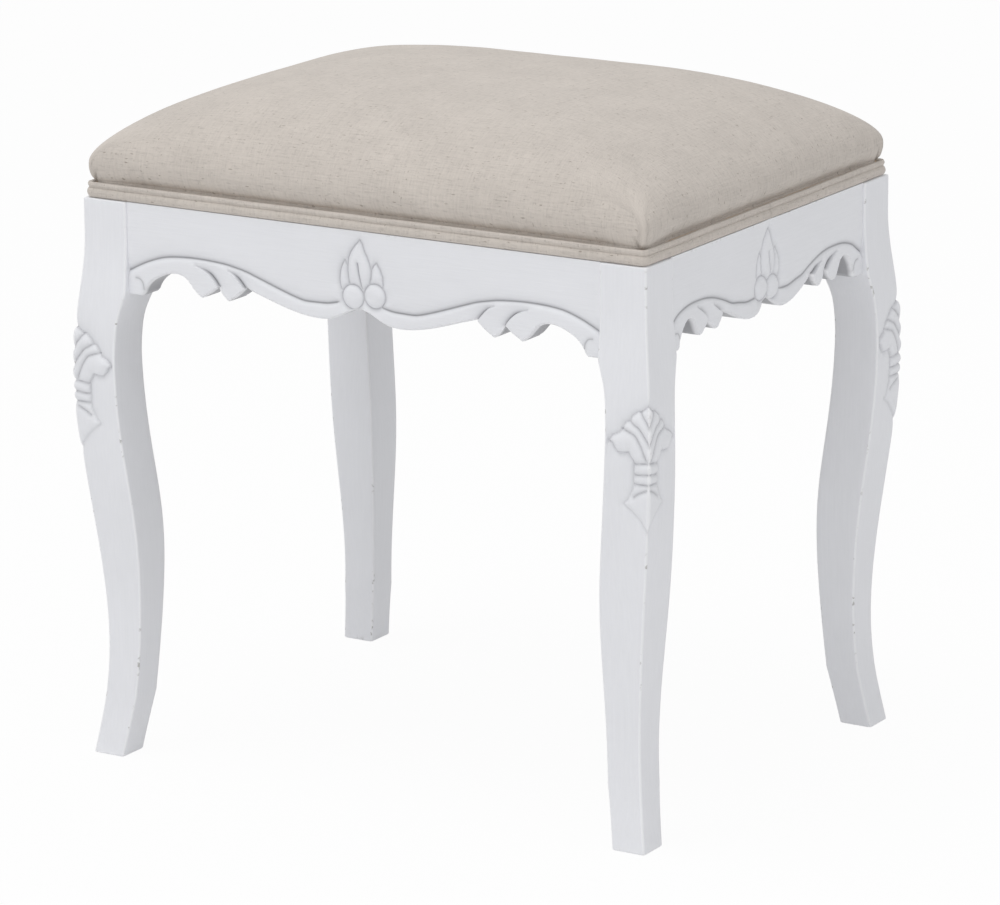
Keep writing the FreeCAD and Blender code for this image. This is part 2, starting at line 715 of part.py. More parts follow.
staple_group = part(group("staple_group", staples()), "staples")
board_x = "frame_length - 2 * (band_setback + band_depth + cover_thick)"
board_y = "frame_width - 2 * (band_setback + band_depth + cover_thick)"
board = plate("board", board_x, board_y, "board_thick", BOARD_FOOT,
              "PartDesign::Fillet", "Radius", "cover_corner - cover_thick")
part(cut("drilled_board", board, seat_pilots + [staple_group]), "seat_board")
dust = plate("dust", "2 * " + DUST_HALF_X, "2 * " + DUST_HALF_Y, "dust_thick", "frame_height - dust_thick",
             "PartDesign::Chamfer", "Size", DUST_CLIP)
part(cut("pierced_dust_cover", dust, [staple_group]), "dust_cover")

board_top = size("frame_height") + size("cover_thick") + size("board_thick")
part(feature("foam", foam_shape(board_top)), "foam_pad")
part(feature("wadding_layer", wadding_shape(board_top)), "wadding")
cover = feature("cover_layer", linen_cover_shape())
part(cut("pierced_cover", cover, [staple_group]), "linen_cover")
part(feature("band", trim_band_shape()), "trim_band")

doc.recompute()

# Every object is sound before anything is written
for item in doc.Objects:
    troubles = [state for state in item.State if state in ("Invalid", "Error")]
    if troubles:
        raise RuntimeError("%s (%s) did not build: %s" % (item.Name, item.Label, troubles))
for item in parts:
    if item.Shape.isNull() or not item.Shape.isValid():
        raise RuntimeError("%s has no sound shape" % item.Label)

os.makedirs("parts", exist_ok=True)
for item in parts:
    item.Shape.exportStep("parts/%s.step" % item.Label)
    print("%-28s solids %3d  volume %12.1f" % (item.Label, len(item.Shape.Solids), item.Shape.Volume))
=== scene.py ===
import math
import bmesh
import bpy
import numpy as np
from mathutils import Matrix, Vector, noise
from mathutils.bvhtree import BVHTree
from mathutils.geometry import delaunay_2d_cdt


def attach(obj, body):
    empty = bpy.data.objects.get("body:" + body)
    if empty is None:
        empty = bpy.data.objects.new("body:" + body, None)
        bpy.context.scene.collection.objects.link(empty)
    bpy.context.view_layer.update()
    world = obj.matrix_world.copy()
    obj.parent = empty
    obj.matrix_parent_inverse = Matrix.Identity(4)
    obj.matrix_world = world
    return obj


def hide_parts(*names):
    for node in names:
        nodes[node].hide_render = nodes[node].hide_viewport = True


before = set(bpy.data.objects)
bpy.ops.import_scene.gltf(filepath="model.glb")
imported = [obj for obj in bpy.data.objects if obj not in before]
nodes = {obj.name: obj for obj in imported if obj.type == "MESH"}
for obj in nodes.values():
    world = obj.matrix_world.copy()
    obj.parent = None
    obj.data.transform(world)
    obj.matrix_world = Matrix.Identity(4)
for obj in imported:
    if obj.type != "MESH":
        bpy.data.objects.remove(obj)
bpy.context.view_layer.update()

# Shapes are worked out in millimetres and written in metres
MM = 0.001

CORNERS = ("front_left", "front_right", "back_left", "back_right")
SIDES = ("front", "back", "left", "right")


def mesh_points(mesh):
    """Corners of a mesh in millimetres."""
    points = np.empty(len(mesh.vertices) * 3)
    mesh.vertices.foreach_get("co", points)
    return points.reshape(-1, 3) / MM


def node_reach(name):
    """Greatest X, Y and Z of a solid, to a hundredth of a millimetre."""
    return [round(float(v), 2) for v in mesh_points(nodes[name].data).max(axis=0)]


# Top of the frame, half sizes of the pad's foot and the seam above which the pad swells
FRAME_TOP = node_reach("leg_front_left")[2]
SKIRT_X, SKIRT_Y = 219.4, 164.9
SEAM = 411.0


def smoothstep(low, high, x):
    """Share from 0 to 1 that rises smoothly between two values."""
    t = np.clip((x - low) / (high - low), 0.0, 1.0)
    return t * t * (3.0 - 2.0 * t)


def smooth_line(points, per_span=8):
    """Line that runs smoothly through points."""
    p = np.asarray(points, float)
    ends = np.vstack([2 * p[0] - p[1], p, 2 * p[-1] - p[-2]])
    t = (np.arange(per_span) / per_span)[:, None]
    spans = []
    for a, b, c, d in zip(ends, ends[1:], ends[2:], ends[3:]):
        bend = (2 * a - 5 * b + 4 * c - d) * t ** 2 + (3 * b - a - 3 * c + d) * t ** 3
        spans.append(0.5 * (2 * b + (c - a) * t + bend))
    return np.vstack(spans + [p[-1:]])


def closed(points):
    """Outline with its first point again at the end."""
    return np.vstack([points, points[:1]])


def run_along(line):
    """Length of the way to each point of a line."""
    return np.concatenate([[0.0], np.cumsum(np.hypot(*np.diff(line, axis=0).T))])


def points_along(line, at):
    """Points of a line at given lengths of the way."""
    run = run_along(line)
    return np.column_stack([np.interp(at, run, line[:, 0]), np.interp(at, run, line[:, 1])])


def even_line(line, step):
    """Points at even steps along a line."""
    length = run_along(line)[-1]
    count = max(2, int(round(length / step)) + 1)
    return points_along(line, np.linspace(0.0, length, count))


def line_normals(line):
    """Directions square to a line, on its left."""
    way = np.gradient(line, axis=0)
    way /= np.maximum(np.hypot(*way.T), 1e-9)[:, None]
    return np.column_stack([-way[:, 1], way[:, 0]])


def nearest(points, line):
    """Distance to a line, the side of it and the share of the way along it."""
    best = np.full(len(points), np.inf)
    side = np.zeros(len(points))
    way = np.zeros(len(points))
    steps = np.diff(line, axis=0)
    lengths = np.maximum(np.hypot(*steps.T), 1e-9)
    starts = np.concatenate([[0.0], np.cumsum(lengths)])
    for start, step, length, run in zip(line, steps, lengths, starts):
        offset = points - start
        t = np.clip(offset @ step / length ** 2, 0.0, 1.0)
        gap = np.hypot(*(offset - t[:, None] * step).T)
        closer = gap < best
        best[closer] = gap[closer]
        side[closer] = (step[0] * offset[:, 1] - step[1] * offset[:, 0])[closer]
        way[closer] = (run + t * length)[closer] / starts[-1]
    return best, side, way


def within(points, polygon):
    """Whether points lie inside a closed outline."""
    x, y = points.T
    inside = np.zeros(len(points), bool)
    for (x0, y0), (x1, y1) in zip(polygon, np.roll(polygon, -1, axis=0)):
        if y0 != y1:
            crosses = (y0 > y) != (y1 > y)
            inside ^= crosses & (x < (x1 - x0) * (y - y0) / (y1 - y0) + x0)
    return inside


def inward_normals(loop):
    """Directions square to a closed outline that point into it."""
    inward = line_normals(closed(loop))[:-1]
    probe = loop[:1] + inward[:1] * 0.05
    return inward if within(probe, loop)[0] else -inward


def eased(distance, radius):
    """Depth of a rounded edge at a distance from it."""
    short = np.clip(radius - distance, 0.0, radius)
    return radius - np.sqrt(np.maximum(radius ** 2 - short ** 2, 0.0))


def triangulated(points, rim):
    """Points and triangles in an outline, whose corners come first, and the places of those corners."""
    found = delaunay_2d_cdt([Vector(p) for p in points], [], [list(range(rim))], 1, 1e-5)
    place = {}
    for index, sources in enumerate(found[3]):
        for source in sources:
            place[source] = index
    flat = np.array([tuple(v) for v in found[0]])
    return flat, [tuple(face) for face in found[2]], [place[i] for i in range(rim)]


def ring_faces(rows, around):
    """Faces between rings of points, with a cap on the first and the last ring."""
    index = np.arange(rows * around).reshape(rows, around)
    following = np.roll(index, -1, axis=1)
    walls = np.stack([index[:-1], following[:-1], following[1:], index[1:]], axis=-1)
    return walls.reshape(-1, 4).tolist() + [index[0][::-1].tolist(), index[-1].tolist()]


def linked(name, data):
    """New object in the scene."""
    item = bpy.data.objects.new(name, data)
    bpy.context.scene.collection.objects.link(item)
    return item


def new_piece(name, points, faces, material, attributes=None, sharp=40.0):
    """Mesh object of millimetre points that rides on the stool."""
    mesh = bpy.data.meshes.new(name)
    mesh.from_pydata((np.asarray(points) * MM).tolist(), [], faces)
    work = bmesh.new()
    work.from_mesh(mesh)
    bmesh.ops.recalc_face_normals(work, faces=work.faces)
    work.to_mesh(mesh)
    work.free()
    mesh.shade_smooth()
    mesh.set_sharp_from_angle(angle=math.radians(sharp))
    for key, values in (attributes or {}).items():
        values = np.asarray(values, np.float32)
        if values.ndim == 1:
            mesh.attributes.new(key, "FLOAT", "POINT").data.foreach_set("value", values)
        else:
            mesh.attributes.new(key, "FLOAT_VECTOR", "POINT").data.foreach_set("vector", values.ravel())
    mesh.materials.append(material)
    piece = linked(name, mesh)
    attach(piece, "root")
    return piece


# Materials

class Shader:
    """Node material with one Principled BSDF."""

    def __init__(self, name):
        self.material = bpy.data.materials.new(name)
        self.material.use_nodes = True
        self.tree = self.material.node_tree
        self.bsdf = self.tree.nodes["Principled BSDF"]

    def add(self, kind, inputs=None, **settings):
        node = self.tree.nodes.new(kind)
        for key, value in settings.items():
            setattr(node, key, value)
        for key, value in (inputs or {}).items():
            self.feed(node.inputs[key], value)
        return node

    def feed(self, socket, value):
        if isinstance(value, bpy.types.NodeSocket):
            self.tree.links.new(value, socket)
        else:
            socket.default_value = value

    def math(self, operation, first, second=0.0, third=0.0, clamp=False):
        inputs = {0: first, 1: second, 2: third}
        return self.add("ShaderNodeMath", inputs, operation=operation, use_clamp=clamp).outputs[0]

    def attribute(self, name, output):
        return self.add("ShaderNodeAttribute", attribute_name=name).outputs[output]

    def place(self):
        return self.add("ShaderNodeTexCoord").outputs["Object"]

    def noise(self, vector, scale, detail=2.0, rough=0.5):
        inputs = {"Vector": vector, "Scale": scale, "Detail": detail, "Roughness": rough}
        return self.add("ShaderNodeTexNoise", inputs).outputs["Fac"]

    def streaks(self, vector, scale, detail):
        stretched = self.add("ShaderNodeMapping", {"Vector": vector, "Scale": scale}).outputs[0]
        return self.noise(stretched, 1.0, detail)

    def band(self, value, low, high, floor=0.0, top=1.0):
        inputs = {"Value": value, "From Min": low, "From Max": high, "To Min": floor, "To Max": top}
        return self.add("ShaderNodeMapRange", inputs).outputs[0]

    def mix(self, share, first, second):
        node = self.add("ShaderNodeMix", data_type="RGBA")
        self.feed(node.inputs["Factor"], share)
        self.feed(node.inputs[6], first)
        self.feed(node.inputs[7], second)
        return node.outputs[2]

    def times(self, colour, value):
        node = self.add("ShaderNodeVectorMath", {0: colour[:3]}, operation="SCALE")
        self.feed(node.inputs["Scale"], value)
        return node.outputs[0]

    def bump(self, height, distance, strength=1.0):
        inputs = {"Height": height, "Distance": distance, "Strength": strength}
        self.feed(self.bsdf.inputs["Normal"], self.add("ShaderNodeBump", inputs).outputs[0])

    def finish(self, colour, roughness, **constants):
        self.feed(self.bsdf.inputs["Base Color"], colour)
        self.feed(self.bsdf.inputs["Roughness"], roughness)
        for key, value in constants.items():
            self.bsdf.inputs[key.replace("_", " ").title()].default_value = value
        return self.material


def rgb(red, green, blue):
    """Linear colour of an sRGB colour in steps of 255."""
    def linear(step):
        c = step / 255.0
        return c / 12.92 if c <= 0.04045 else ((c + 0.055) / 1.055) ** 2.4
    return (linear(red), linear(green), linear(blue), 1.0)


# The grey below is painted shade for the carving and the undersides, the near-white is a painted highlight
# along edges, and the grey-brown is worn paint.
PAINT_WHITE, PAINT_SHADE_GREY = rgb(232, 233, 237), rgb(132, 132, 136)
PAINT_HIGHLIGHT, PAINT_WORN = rgb(244, 244, 246), rgb(122, 116, 108)
LINEN_TONE, LINEN_FLECK, LINEN_SHADE = rgb(202, 194, 186), rgb(122, 110, 96), rgb(92, 84, 74)
CAMBRIC_DARK, CAMBRIC_LIGHT = rgb(30, 30, 31), rgb(54, 54, 55)
ZINC_DARK, ZINC_LIGHT = rgb(168, 168, 172), rgb(200, 200, 202)
# Distance between two threads of the linen, in metres
THREAD_PITCH = 0.00062


def paint_material(name, grain):
    """Satin white paint: brush marks along the grain, painted shade in the carving's grooves and under its
    edges, a painted highlight along edges, and worn spots on some edges.
    """
    s = Shader(name)
    place = s.place()
    brush = s.streaks(place, grain, 3.0)
    cloudy = s.noise(place, 14.0, 3.0)
    rub = s.noise(place, 260.0, 2.0)
    patch = s.noise(place, 30.0, 1.0)
    tone = s.math("ADD", s.band(cloudy, 0.3, 0.7, 0.975, 1.01), s.band(brush, 0.3, 0.7, -0.012, 0.012))
    colour = s.times(PAINT_WHITE, tone)
    # Painted shade: grey is mixed in where the carving's grooves and the undersides of edges fall in shade.
    painted_shade = s.attribute("painted_shade", "Fac")
    colour = s.mix(s.math("MULTIPLY", painted_shade, 0.8, clamp=True), colour, PAINT_SHADE_GREY)
    # Painted highlight: the paint is lightened along edges and corners where they would catch the light.
    rim = s.attribute("rim", "Fac")
    colour = s.mix(s.math("MULTIPLY", rim, 0.5, clamp=True), colour, PAINT_HIGHLIGHT)
    worn = s.math("MULTIPLY", s.band(rub, 0.58, 0.66), s.band(patch, 0.52, 0.64))
    worn = s.math("MULTIPLY", worn, rim, clamp=True)
    colour = s.mix(s.math("MULTIPLY", worn, 0.55), colour, PAINT_WORN)
    s.bump(brush, 0.00025, 0.5)
    return s.finish(colour, s.band(cloudy, 0.3, 0.7, 0.42, 0.52))


def linen_material(name):
    """Natural linen: plain weave, uneven threads, slubs both ways and a few dark flecks."""
    s = Shader(name)
    cloth = s.attribute("cloth", "Vector")
    parts = s.add("ShaderNodeSeparateXYZ", {0: cloth})
    pitch = math.pi / THREAD_PITCH
    along = s.math("SINE", s.math("MULTIPLY", parts.outputs[0], pitch))
    across = s.math("SINE", s.math("MULTIPLY", parts.outputs[1], pitch))
    weave = s.math("MULTIPLY", along, across)
    weft = s.streaks(cloth, (38.0, 640.0, 1.0), 2.0)
    warp = s.streaks(cloth, (760.0, 45.0, 1.0), 2.0)
    slub_weft = s.streaks(cloth, (150.0, 620.0, 1.0), 1.0)
    slub_warp = s.streaks(cloth, (700.0, 200.0, 1.0), 1.0)
    fleck = s.streaks(cloth, (220.0, 620.0, 1.0), 0.0)
    speck = s.streaks(cloth, (640.0, 260.0, 1.0), 0.0)
    cloudy = s.noise(cloth, 22.0, 2.0)
    threads = s.math("ADD", s.band(weft, 0.3, 0.7, -0.5, 0.5), s.band(warp, 0.3, 0.7, -0.5, 0.5))
    slubs = s.math("ADD", s.band(slub_weft, 0.56, 0.74), s.band(slub_warp, 0.58, 0.76, 0.0, 0.8))
    tone = s.math("MULTIPLY_ADD", threads, 0.085, s.band(cloudy, 0.3, 0.7, 0.965, 1.035))
    tone = s.math("MULTIPLY_ADD", slubs, -0.13, tone)
    tone = s.math("MULTIPLY_ADD", weave, 0.03, tone)
    colour = s.times(LINEN_TONE, tone)
    colour = s.mix(s.band(fleck, 0.76, 0.83, 0.0, 0.55), colour, LINEN_FLECK)
    colour = s.mix(s.band(speck, 0.78, 0.85, 0.0, 0.45), colour, LINEN_FLECK)
    # Painted shade: the linen is darkened in its tucks, along the foot of the pad and in the groove of the
    # welt.
    crease = s.attribute("crease", "Fac")
    colour = s.mix(s.math("MULTIPLY", crease, 0.6, clamp=True), colour, LINEN_SHADE)
    height = s.math("MULTIPLY_ADD", weave, 0.5, s.math("MULTIPLY_ADD", slubs, 0.8, threads))
    height = s.math("MULTIPLY", height, s.math("SUBTRACT", 1.0, s.attribute("calm", "Fac")))
    s.bump(height, 0.00018, 0.7)
    return s.finish(colour, 0.92, sheen_weight=0.12, sheen_roughness=0.6)


def wood_material(name, light, dark, scale):
    """Bare wood with grain lines along X."""
    s = Shader(name)
    place = s.place()
    grain = s.streaks(place, scale, 4.0)
    pores = s.streaks(place, tuple(5 * v for v in scale), 2.0)
    share = s.math("MULTIPLY_ADD", s.band(pores, 0.55, 0.7), 0.35, s.band(grain, 0.3, 0.7))
    s.bump(pores, 0.0002, 0.6)
    return s.finish(s.mix(share, light, dark), s.band(grain, 0.3, 0.7, 0.55, 0.75))


def cambric_material(name):
    """Black non-woven cloth with pressed fibres."""
    s = Shader(name)
    place = s.place()
    fibres = s.streaks(place, (500.0, 1500.0, 1.0), 3.0)
    crossed = s.streaks(place, (1500.0, 500.0, 1.0), 3.0)
    height = s.math("ADD", fibres, crossed)
    s.bump(height, 0.0002, 0.8)
    return s.finish(s.mix(s.band(height, 0.7, 1.3), CAMBRIC_DARK, CAMBRIC_LIGHT), 0.9)


def zinc_material(name):
    """Zinc plated steel with a cloudy surface."""
    s = Shader(name)
    place = s.place()
    spots = s.noise(place, 900.0, 3.0)
    roughness = s.band(spots, 0.3, 0.7, 0.3, 0.5)
    return s.finish(s.mix(spots, ZINC_DARK, ZINC_LIGHT), roughness, metallic=1.0)


PAINT_LEVEL = paint_material("white_paint_level", (35.0, 35.0, 900.0))
PAINT_UPRIGHT = paint_material("white_paint_upright", (700.0, 700.0, 28.0))
LINEN = linen_material("linen_cloth")
WOOD = wood_material("beech", rgb(214, 180, 138), rgb(178, 136, 94), (30.0, 260.0, 260.0))
PLY = wood_material("birch_plywood", rgb(216, 186, 142), rgb(186, 148, 102), (25.0, 200.0, 2600.0))
CAMBRIC = cambric_material("black_cambric")
ZINC = zinc_material("zinc_plate")


# Aprons

# Depth of each cut, how far it falls off on both sides of its line, and how far the painted shade in it
# reaches
GROOVE_DEPTH, GROOVE_DISH, GROOVE_LIP = 2.2, 3.0, 1.6
GROOVE_SHADE_FALL, GROOVE_LINE = 1.1, 0.6
GROOVE_START, GROOVE_FULL = 13.0, 19.0
LEAF_DEPTH, LEAF_FALL, LEAF_SHADE_FALL, LEAF_LINE = 3.0, 5.0, 1.0, 0.5
SCROLL_DEPTH, SCROLL_FALL, SCROLL_SHADE_FALL = 0.4, 1.0, 0.7
MOTIF_DEPTH, MOTIF_INSIDE, MOTIF_OUTSIDE = 3.2, 2.2, 3.4
MOTIF_SHADE, MOTIF_LINE, MOTIF_SHADE_FALL = 0.5, 0.5, 0.9
FLAME_CUT, FLAME_FALL, FLAME_SHADE_FALL = 0.75, 0.9, 0.6
RELIEF_MOST = 4.5
EDGE_EASE, END_EASE = 1.6, 0.2
# Levels behind the face that divide the apron's edge; the last one is its back
APRON_LEVELS = (5.4, 9.0, 20.0)
# Lengths of the steps along the apron's scalloped and straight edges
FINE_STEP, COARSE_STEP = 0.75, 4.0

LONG_CARVING = {
    "groove": [
        (16, 349.5), (25, 347.5), (33, 347), (44, 347), (53, 349), (66, 353), (81, 358), (92, 361.5),
        (103, 363.8), (111, 365), (128, 366), (143, 365.8), (155, 364.7), (163, 363), (173, 359.5),
        (180, 356.3), (186, 353.2), (188.6, 351.8),
    ],
    "leaves": [
        [(132, 361), (127, 359.5), (122.5, 357.4), (118.6, 354.3), (116, 351.3), (114.2, 348.6)],
        [(106, 360.5), (102.5, 359.3), (99.2, 357), (95.6, 353.3), (92.4, 349.5)],
    ],
    "scroll": [(182, 347.5), (178.8, 346.8), (176.6, 344), (175.8, 340)],
}
SHORT_CARVING = {
    "groove": [
        (14, 349), (28, 348.4), (40, 350.4), (49, 352), (59, 356), (73, 360.5), (85, 362.6), (97, 363),
        (109, 362.2), (121, 359), (128.5, 354.6), (134.1, 351),
    ],
    "leaves": [
        [(97, 359), (92, 356.5), (87.5, 353.5), (84.5, 350.8), (82.7, 348)],
        [(75, 356.5), (70, 353.6), (66, 351), (62.5, 349.5)],
    ],
    "scroll": [(127.5, 347.5), (124.3, 346.8), (122.1, 344), (121.3, 340)],
}
FLAME = [
    (0.1, 393.6), (1.9, 390.9), (3.9, 385.3), (6, 381.4), (7.7, 376.9), (8.5, 372.8), (8.2, 368.5),
    (6.9, 363.1), (5, 358), (-6, 358), (-8.4, 362.9), (-9.3, 366.5), (-9.8, 371.7), (-9.7, 376),
    (-9, 380.8), (-7.1, 385.2), (-3.6, 389.8),
]
FLAME_GROOVE = [(-1.2, 377.5), (-0.8, 374), (-0.3, 370.7), (0.8, 366), (1.9, 361)]
LEFT_PETAL = [
    (-12.1, 379.1), (-9.6, 374), (-9, 366), (-9, 358), (-14.9, 358), (-16, 362), (-16.3, 364.7),
    (-15.9, 370), (-14.6, 374.3),
]
RIGHT_PETAL = [
    (12.9, 379), (15.9, 374.6), (17.9, 369.6), (18.1, 364.4), (17, 358), (8, 358), (8.2, 366),
    (9.2, 374), (10.7, 376.9),
]
LONG_BALLS = [(-5.8, 353.9), (11.5, 356.0)]
SHORT_BALLS = [(-10.0, 353.7), (6.0, 351.8)]
BALL_RADIUS = 8.5
# Place of the flame among the shapes of the ornament, after the two balls
FLAME_NUMBER = 2


def disc(centre, radius, count=48):
    """Outline of a round disc."""
    turn = np.linspace(0.0, 2 * math.pi, count, endpoint=False)
    return np.column_stack([centre[0] + radius * np.cos(turn), centre[1] + radius * np.sin(turn)])


def motif(balls):
    """Outlines of the carved ornament in the middle, front ones first."""
    shapes = [disc(centre, BALL_RADIUS) for centre in balls]
    shapes += [np.asarray(shape, float) for shape in (FLAME, LEFT_PETAL)]
    lean = 0.6 * (balls[1][0] - LONG_BALLS[1][0])
    return shapes + [np.asarray(RIGHT_PETAL, float) + np.array([lean, 0.0])]


LONG_CARVING["motif"] = motif(LONG_BALLS)
SHORT_CARVING["motif"] = motif(SHORT_BALLS)


def apron_relief(points, carving, shift):
    """Depth of the carving in the apron's face, and how much painted shade sits there."""
    s, z = points.T
    folded = np.column_stack([np.abs(s), z])
    groove = smooth_line(carving["groove"])
    gap = nearest(folded, groove)[0]
    above = z > np.interp(folded[:, 0], groove[:, 0], groove[:, 1])
    fall = np.where(above, np.exp(-gap / GROOVE_DISH), np.exp(-(gap / GROOVE_LIP) ** 1.5))
    start = smoothstep(GROOVE_START, GROOVE_FULL, folded[:, 0])
    depth = GROOVE_DEPTH * fall * start
    # Painted shade along the groove, reaching further above it than below.
    painted_shade = np.where(above, np.exp(-gap / GROOVE_SHADE_FALL), np.exp(-(gap / GROOVE_LINE) ** 2)) * start
    for points_of_leaf in carving["leaves"]:
        gap, side, way = nearest(folded, smooth_line(points_of_leaf))
        inner = side < 0
        taper = 0.35 + 0.65 * smoothstep(0.0, 0.6, way)
        outer_side = np.exp(-(gap / LEAF_LINE) ** 2)
        fall = np.where(inner, np.exp(-gap / LEAF_FALL), outer_side) * taper
        # Painted shade along each leaf's edge.
        leaf_shade = np.where(inner, np.exp(-gap / LEAF_SHADE_FALL), outer_side) * taper
        depth = np.maximum(depth, LEAF_DEPTH * fall)
        painted_shade = np.maximum(painted_shade, leaf_shade)
    gap = nearest(folded, smooth_line(carving["scroll"]))[0]
    depth = np.maximum(depth, SCROLL_DEPTH * np.exp(-gap / SCROLL_FALL))
    # Painted shade along the scroll.
    painted_shade = np.maximum(painted_shade, 0.7 * np.exp(-gap / SCROLL_SHADE_FALL))
    local = points - np.array([shift, 0.0])
    taken = np.zeros(len(points), bool)
    carved = np.zeros(len(points))
    shade = np.zeros(len(points))
    for number, shape in enumerate(carving["motif"]):
        gap = nearest(local, closed(shape))[0]
        inside = within(local, shape)
        edge = np.where(inside, np.exp(-(gap / MOTIF_INSIDE) ** 1.2), np.exp(-gap / MOTIF_OUTSIDE))
        # Painted shade along the ornament's outlines and the flame's groove.
        line = np.where(inside, np.exp(-(gap / MOTIF_LINE) ** 2), np.exp(-gap / MOTIF_SHADE_FALL))
        carved = np.where(taken, carved, np.maximum(carved, edge))
        shade = np.where(taken, shade, np.maximum(shade, MOTIF_SHADE * line))
        if number == FLAME_NUMBER:
            gap = nearest(local, smooth_line(FLAME_GROOVE))[0]
            vee = inside & ~taken
            cut = FLAME_CUT * np.exp(-gap / FLAME_FALL)
            line = MOTIF_SHADE * np.exp(-gap / FLAME_SHADE_FALL)
            carved = np.where(vee, np.maximum(carved, cut), carved)
            shade = np.where(vee, np.maximum(shade, line), shade)
        taken |= inside
    depth = np.where(taken, MOTIF_DEPTH * carved, np.maximum(depth, MOTIF_DEPTH * carved))
    painted_shade = np.where(taken, shade, np.maximum(painted_shade, shade))
    return depth, painted_shade


def face_outline(points, mesh, axis, level):
    """Closed outline of the flat face of a solid that lies at a level of one axis."""
    along = 1 - axis
    count = {}
    for face in mesh.polygons:
        corners = list(face.vertices)
        if all(abs(points[v, axis] - level) < 0.05 for v in corners):
            keys = [(round(points[v, along], 2), round(points[v, 2], 2)) for v in corners]
            for a, b in zip(keys, keys[1:] + keys[:1]):
                if a != b:
                    count[(a, b)] = count.get((a, b), 0) + 1
    rim = {a: b for a, b in count if (b, a) not in count}
    start = max(rim, key=lambda key: (key[1], key[0]))
    loop = [start]
    while rim[loop[-1]] != start:
        loop.append(rim[loop[-1]])
    return np.array(loop)


def resampled_loop(loop, fine, coarse):
    """Outline cut into short steps along its lower edge and longer ones elsewhere."""
    out = []
    for a, b in zip(loop, np.roll(loop, -1, axis=0)):
        length = math.hypot(*(b - a))
        upper = min(a[1], b[1]) > FRAME_TOP - 0.5 or abs(a[0] - b[0]) < 0.01
        steps = max(1, int(math.ceil(length / (coarse if upper else fine))))
        out += [a + (b - a) * i / steps for i in range(steps)]
    return np.array(out)


class Sieve:
    """Keeps points apart from each other."""

    cell = 1.0

    def __init__(self):
        self.cells = {}
        self.points = []

    def add(self, points, apart):
        reach = int(math.ceil(apart / self.cell))
        for x, y in points:
            i, j = int(x // self.cell), int(y // self.cell)
            near = (
                p for a in range(i - reach, i + reach + 1) for b in range(j - reach, j + reach + 1)
                for p in self.cells.get((a, b), ())
            )
            if all((x - p[0]) ** 2 + (y - p[1]) ** 2 >= apart ** 2 for p in near):
                self.cells.setdefault((i, j), []).append((x, y))
                self.points.append((x, y))


def grid(low, high, step):
    """Points in staggered rows that fill a rectangle."""
    rows = np.arange(low[1], high[1], step * 0.87)
    points = []
    for number, z in enumerate(rows):
        s = np.arange(low[0] + (number % 2) * step / 2, high[0], step)
        points.append(np.column_stack([s, np.full(len(s), z)]))
    return np.vstack(points)


def panel_points(loop, carving, shift):
    """Corners for the carved face: close together along edges and carving, wide apart elsewhere."""
    sieve = Sieve()
    sieve.add(loop, 0.0)
    outline = closed(loop)
    inward = inward_normals(loop)
    extra = []
    for offset in (0.3, 0.75, 1.3, 2.0):
        row = loop + inward * offset
        extra.append((row[nearest(row, outline)[0] > 0.92 * offset], 0.28))
    lines = []
    for sign in (-1, 1):
        for part in [carving["groove"], carving["scroll"]] + carving["leaves"]:
            lines.append(smooth_line(part) * np.array([sign, 1]))
    for shape in carving["motif"]:
        lines.append(closed(shape) + np.array([shift, 0.0]))
    lines.append(smooth_line(FLAME_GROOVE) + np.array([shift, 0.0]))
    for line in lines:
        row = even_line(line, 0.7)
        normal = line_normals(row)
        for offset in (0.0, -0.45, 0.45, -0.95, 0.95):
            extra.append((row + normal * offset, 0.34))
    low, high = loop.min(axis=0), loop.max(axis=0)
    fine = grid(low, high, 1.05)
    groove_at = np.interp(np.abs(fine[:, 0]), *np.asarray(carving["groove"], float).T)
    below_groove = fine[:, 1] < groove_at + 9.0
    at_motif = (np.abs(fine[:, 0] - shift) < 23.0) & (fine[:, 1] < FRAME_TOP - 2.0)
    extra.append((fine[below_groove | at_motif], 0.62))
    extra.append((grid(low, high, 4.2), 2.6))
    everything = np.vstack([points for points, apart in extra])
    usable = within(everything, loop)
    usable[usable] = nearest(everything[usable], outline)[0] > 0.22
    start = 0
    for points, apart in extra:
        sieve.add(points[usable[start:start + len(points)]], apart)
        start += len(points)
    return np.array(sieve.points)


def edge_facing_down(flat, gap, lower, wall):
    """Points close to the scalloped edge, and how far the edge beside each of them faces down."""
    facing_down = np.clip(inward_normals(wall)[:, 1], 0.0, 1.0) * (wall[:, 1] < FRAME_TOP - 1.0)
    close = np.flatnonzero(lower & (gap < 1.4))
    beside = ((flat[close, None, :] - wall[None]) ** 2).sum(axis=-1).argmin(axis=1)
    return close, facing_down[beside]


def apron_face(loop, carving, shift):
    """Carved face with eased edges: points, triangles, places of the rim, painted shade, and the edge mask
    for painted highlight and wear.
    """
    flat, faces, rim_index = triangulated(panel_points(loop, carving, shift), len(loop))
    gap = nearest(flat, closed(loop))[0]
    half = np.abs(loop[:, 0]).max()
    plain = np.minimum(half - np.abs(flat[:, 0]), FRAME_TOP - flat[:, 1])
    lower = gap < plain - 0.01
    depth, painted_shade = apron_relief(flat, carving, shift)
    depth = np.minimum(depth + eased(gap, np.where(lower, EDGE_EASE, END_EASE)), RELIEF_MOST)
    # Edge mask for the painted highlight and the worn spots: full along the lower edges, half at the ends.
    rim = np.where(lower, np.exp(-(gap / 0.9) ** 2), 0.5 * np.exp(-(gap / 0.6) ** 2))
    close, down = edge_facing_down(flat, gap, lower, flat[rim_index])
    # Painted shade on the rounding of edges that face down, which also lose their painted highlight.
    painted_shade[close] = np.maximum(painted_shade[close], 0.7 * down * np.exp(-(gap[close] / 0.8) ** 2))
    rim[close] *= 1 - down
    return np.column_stack([flat, depth]), faces, rim_index, painted_shade, rim


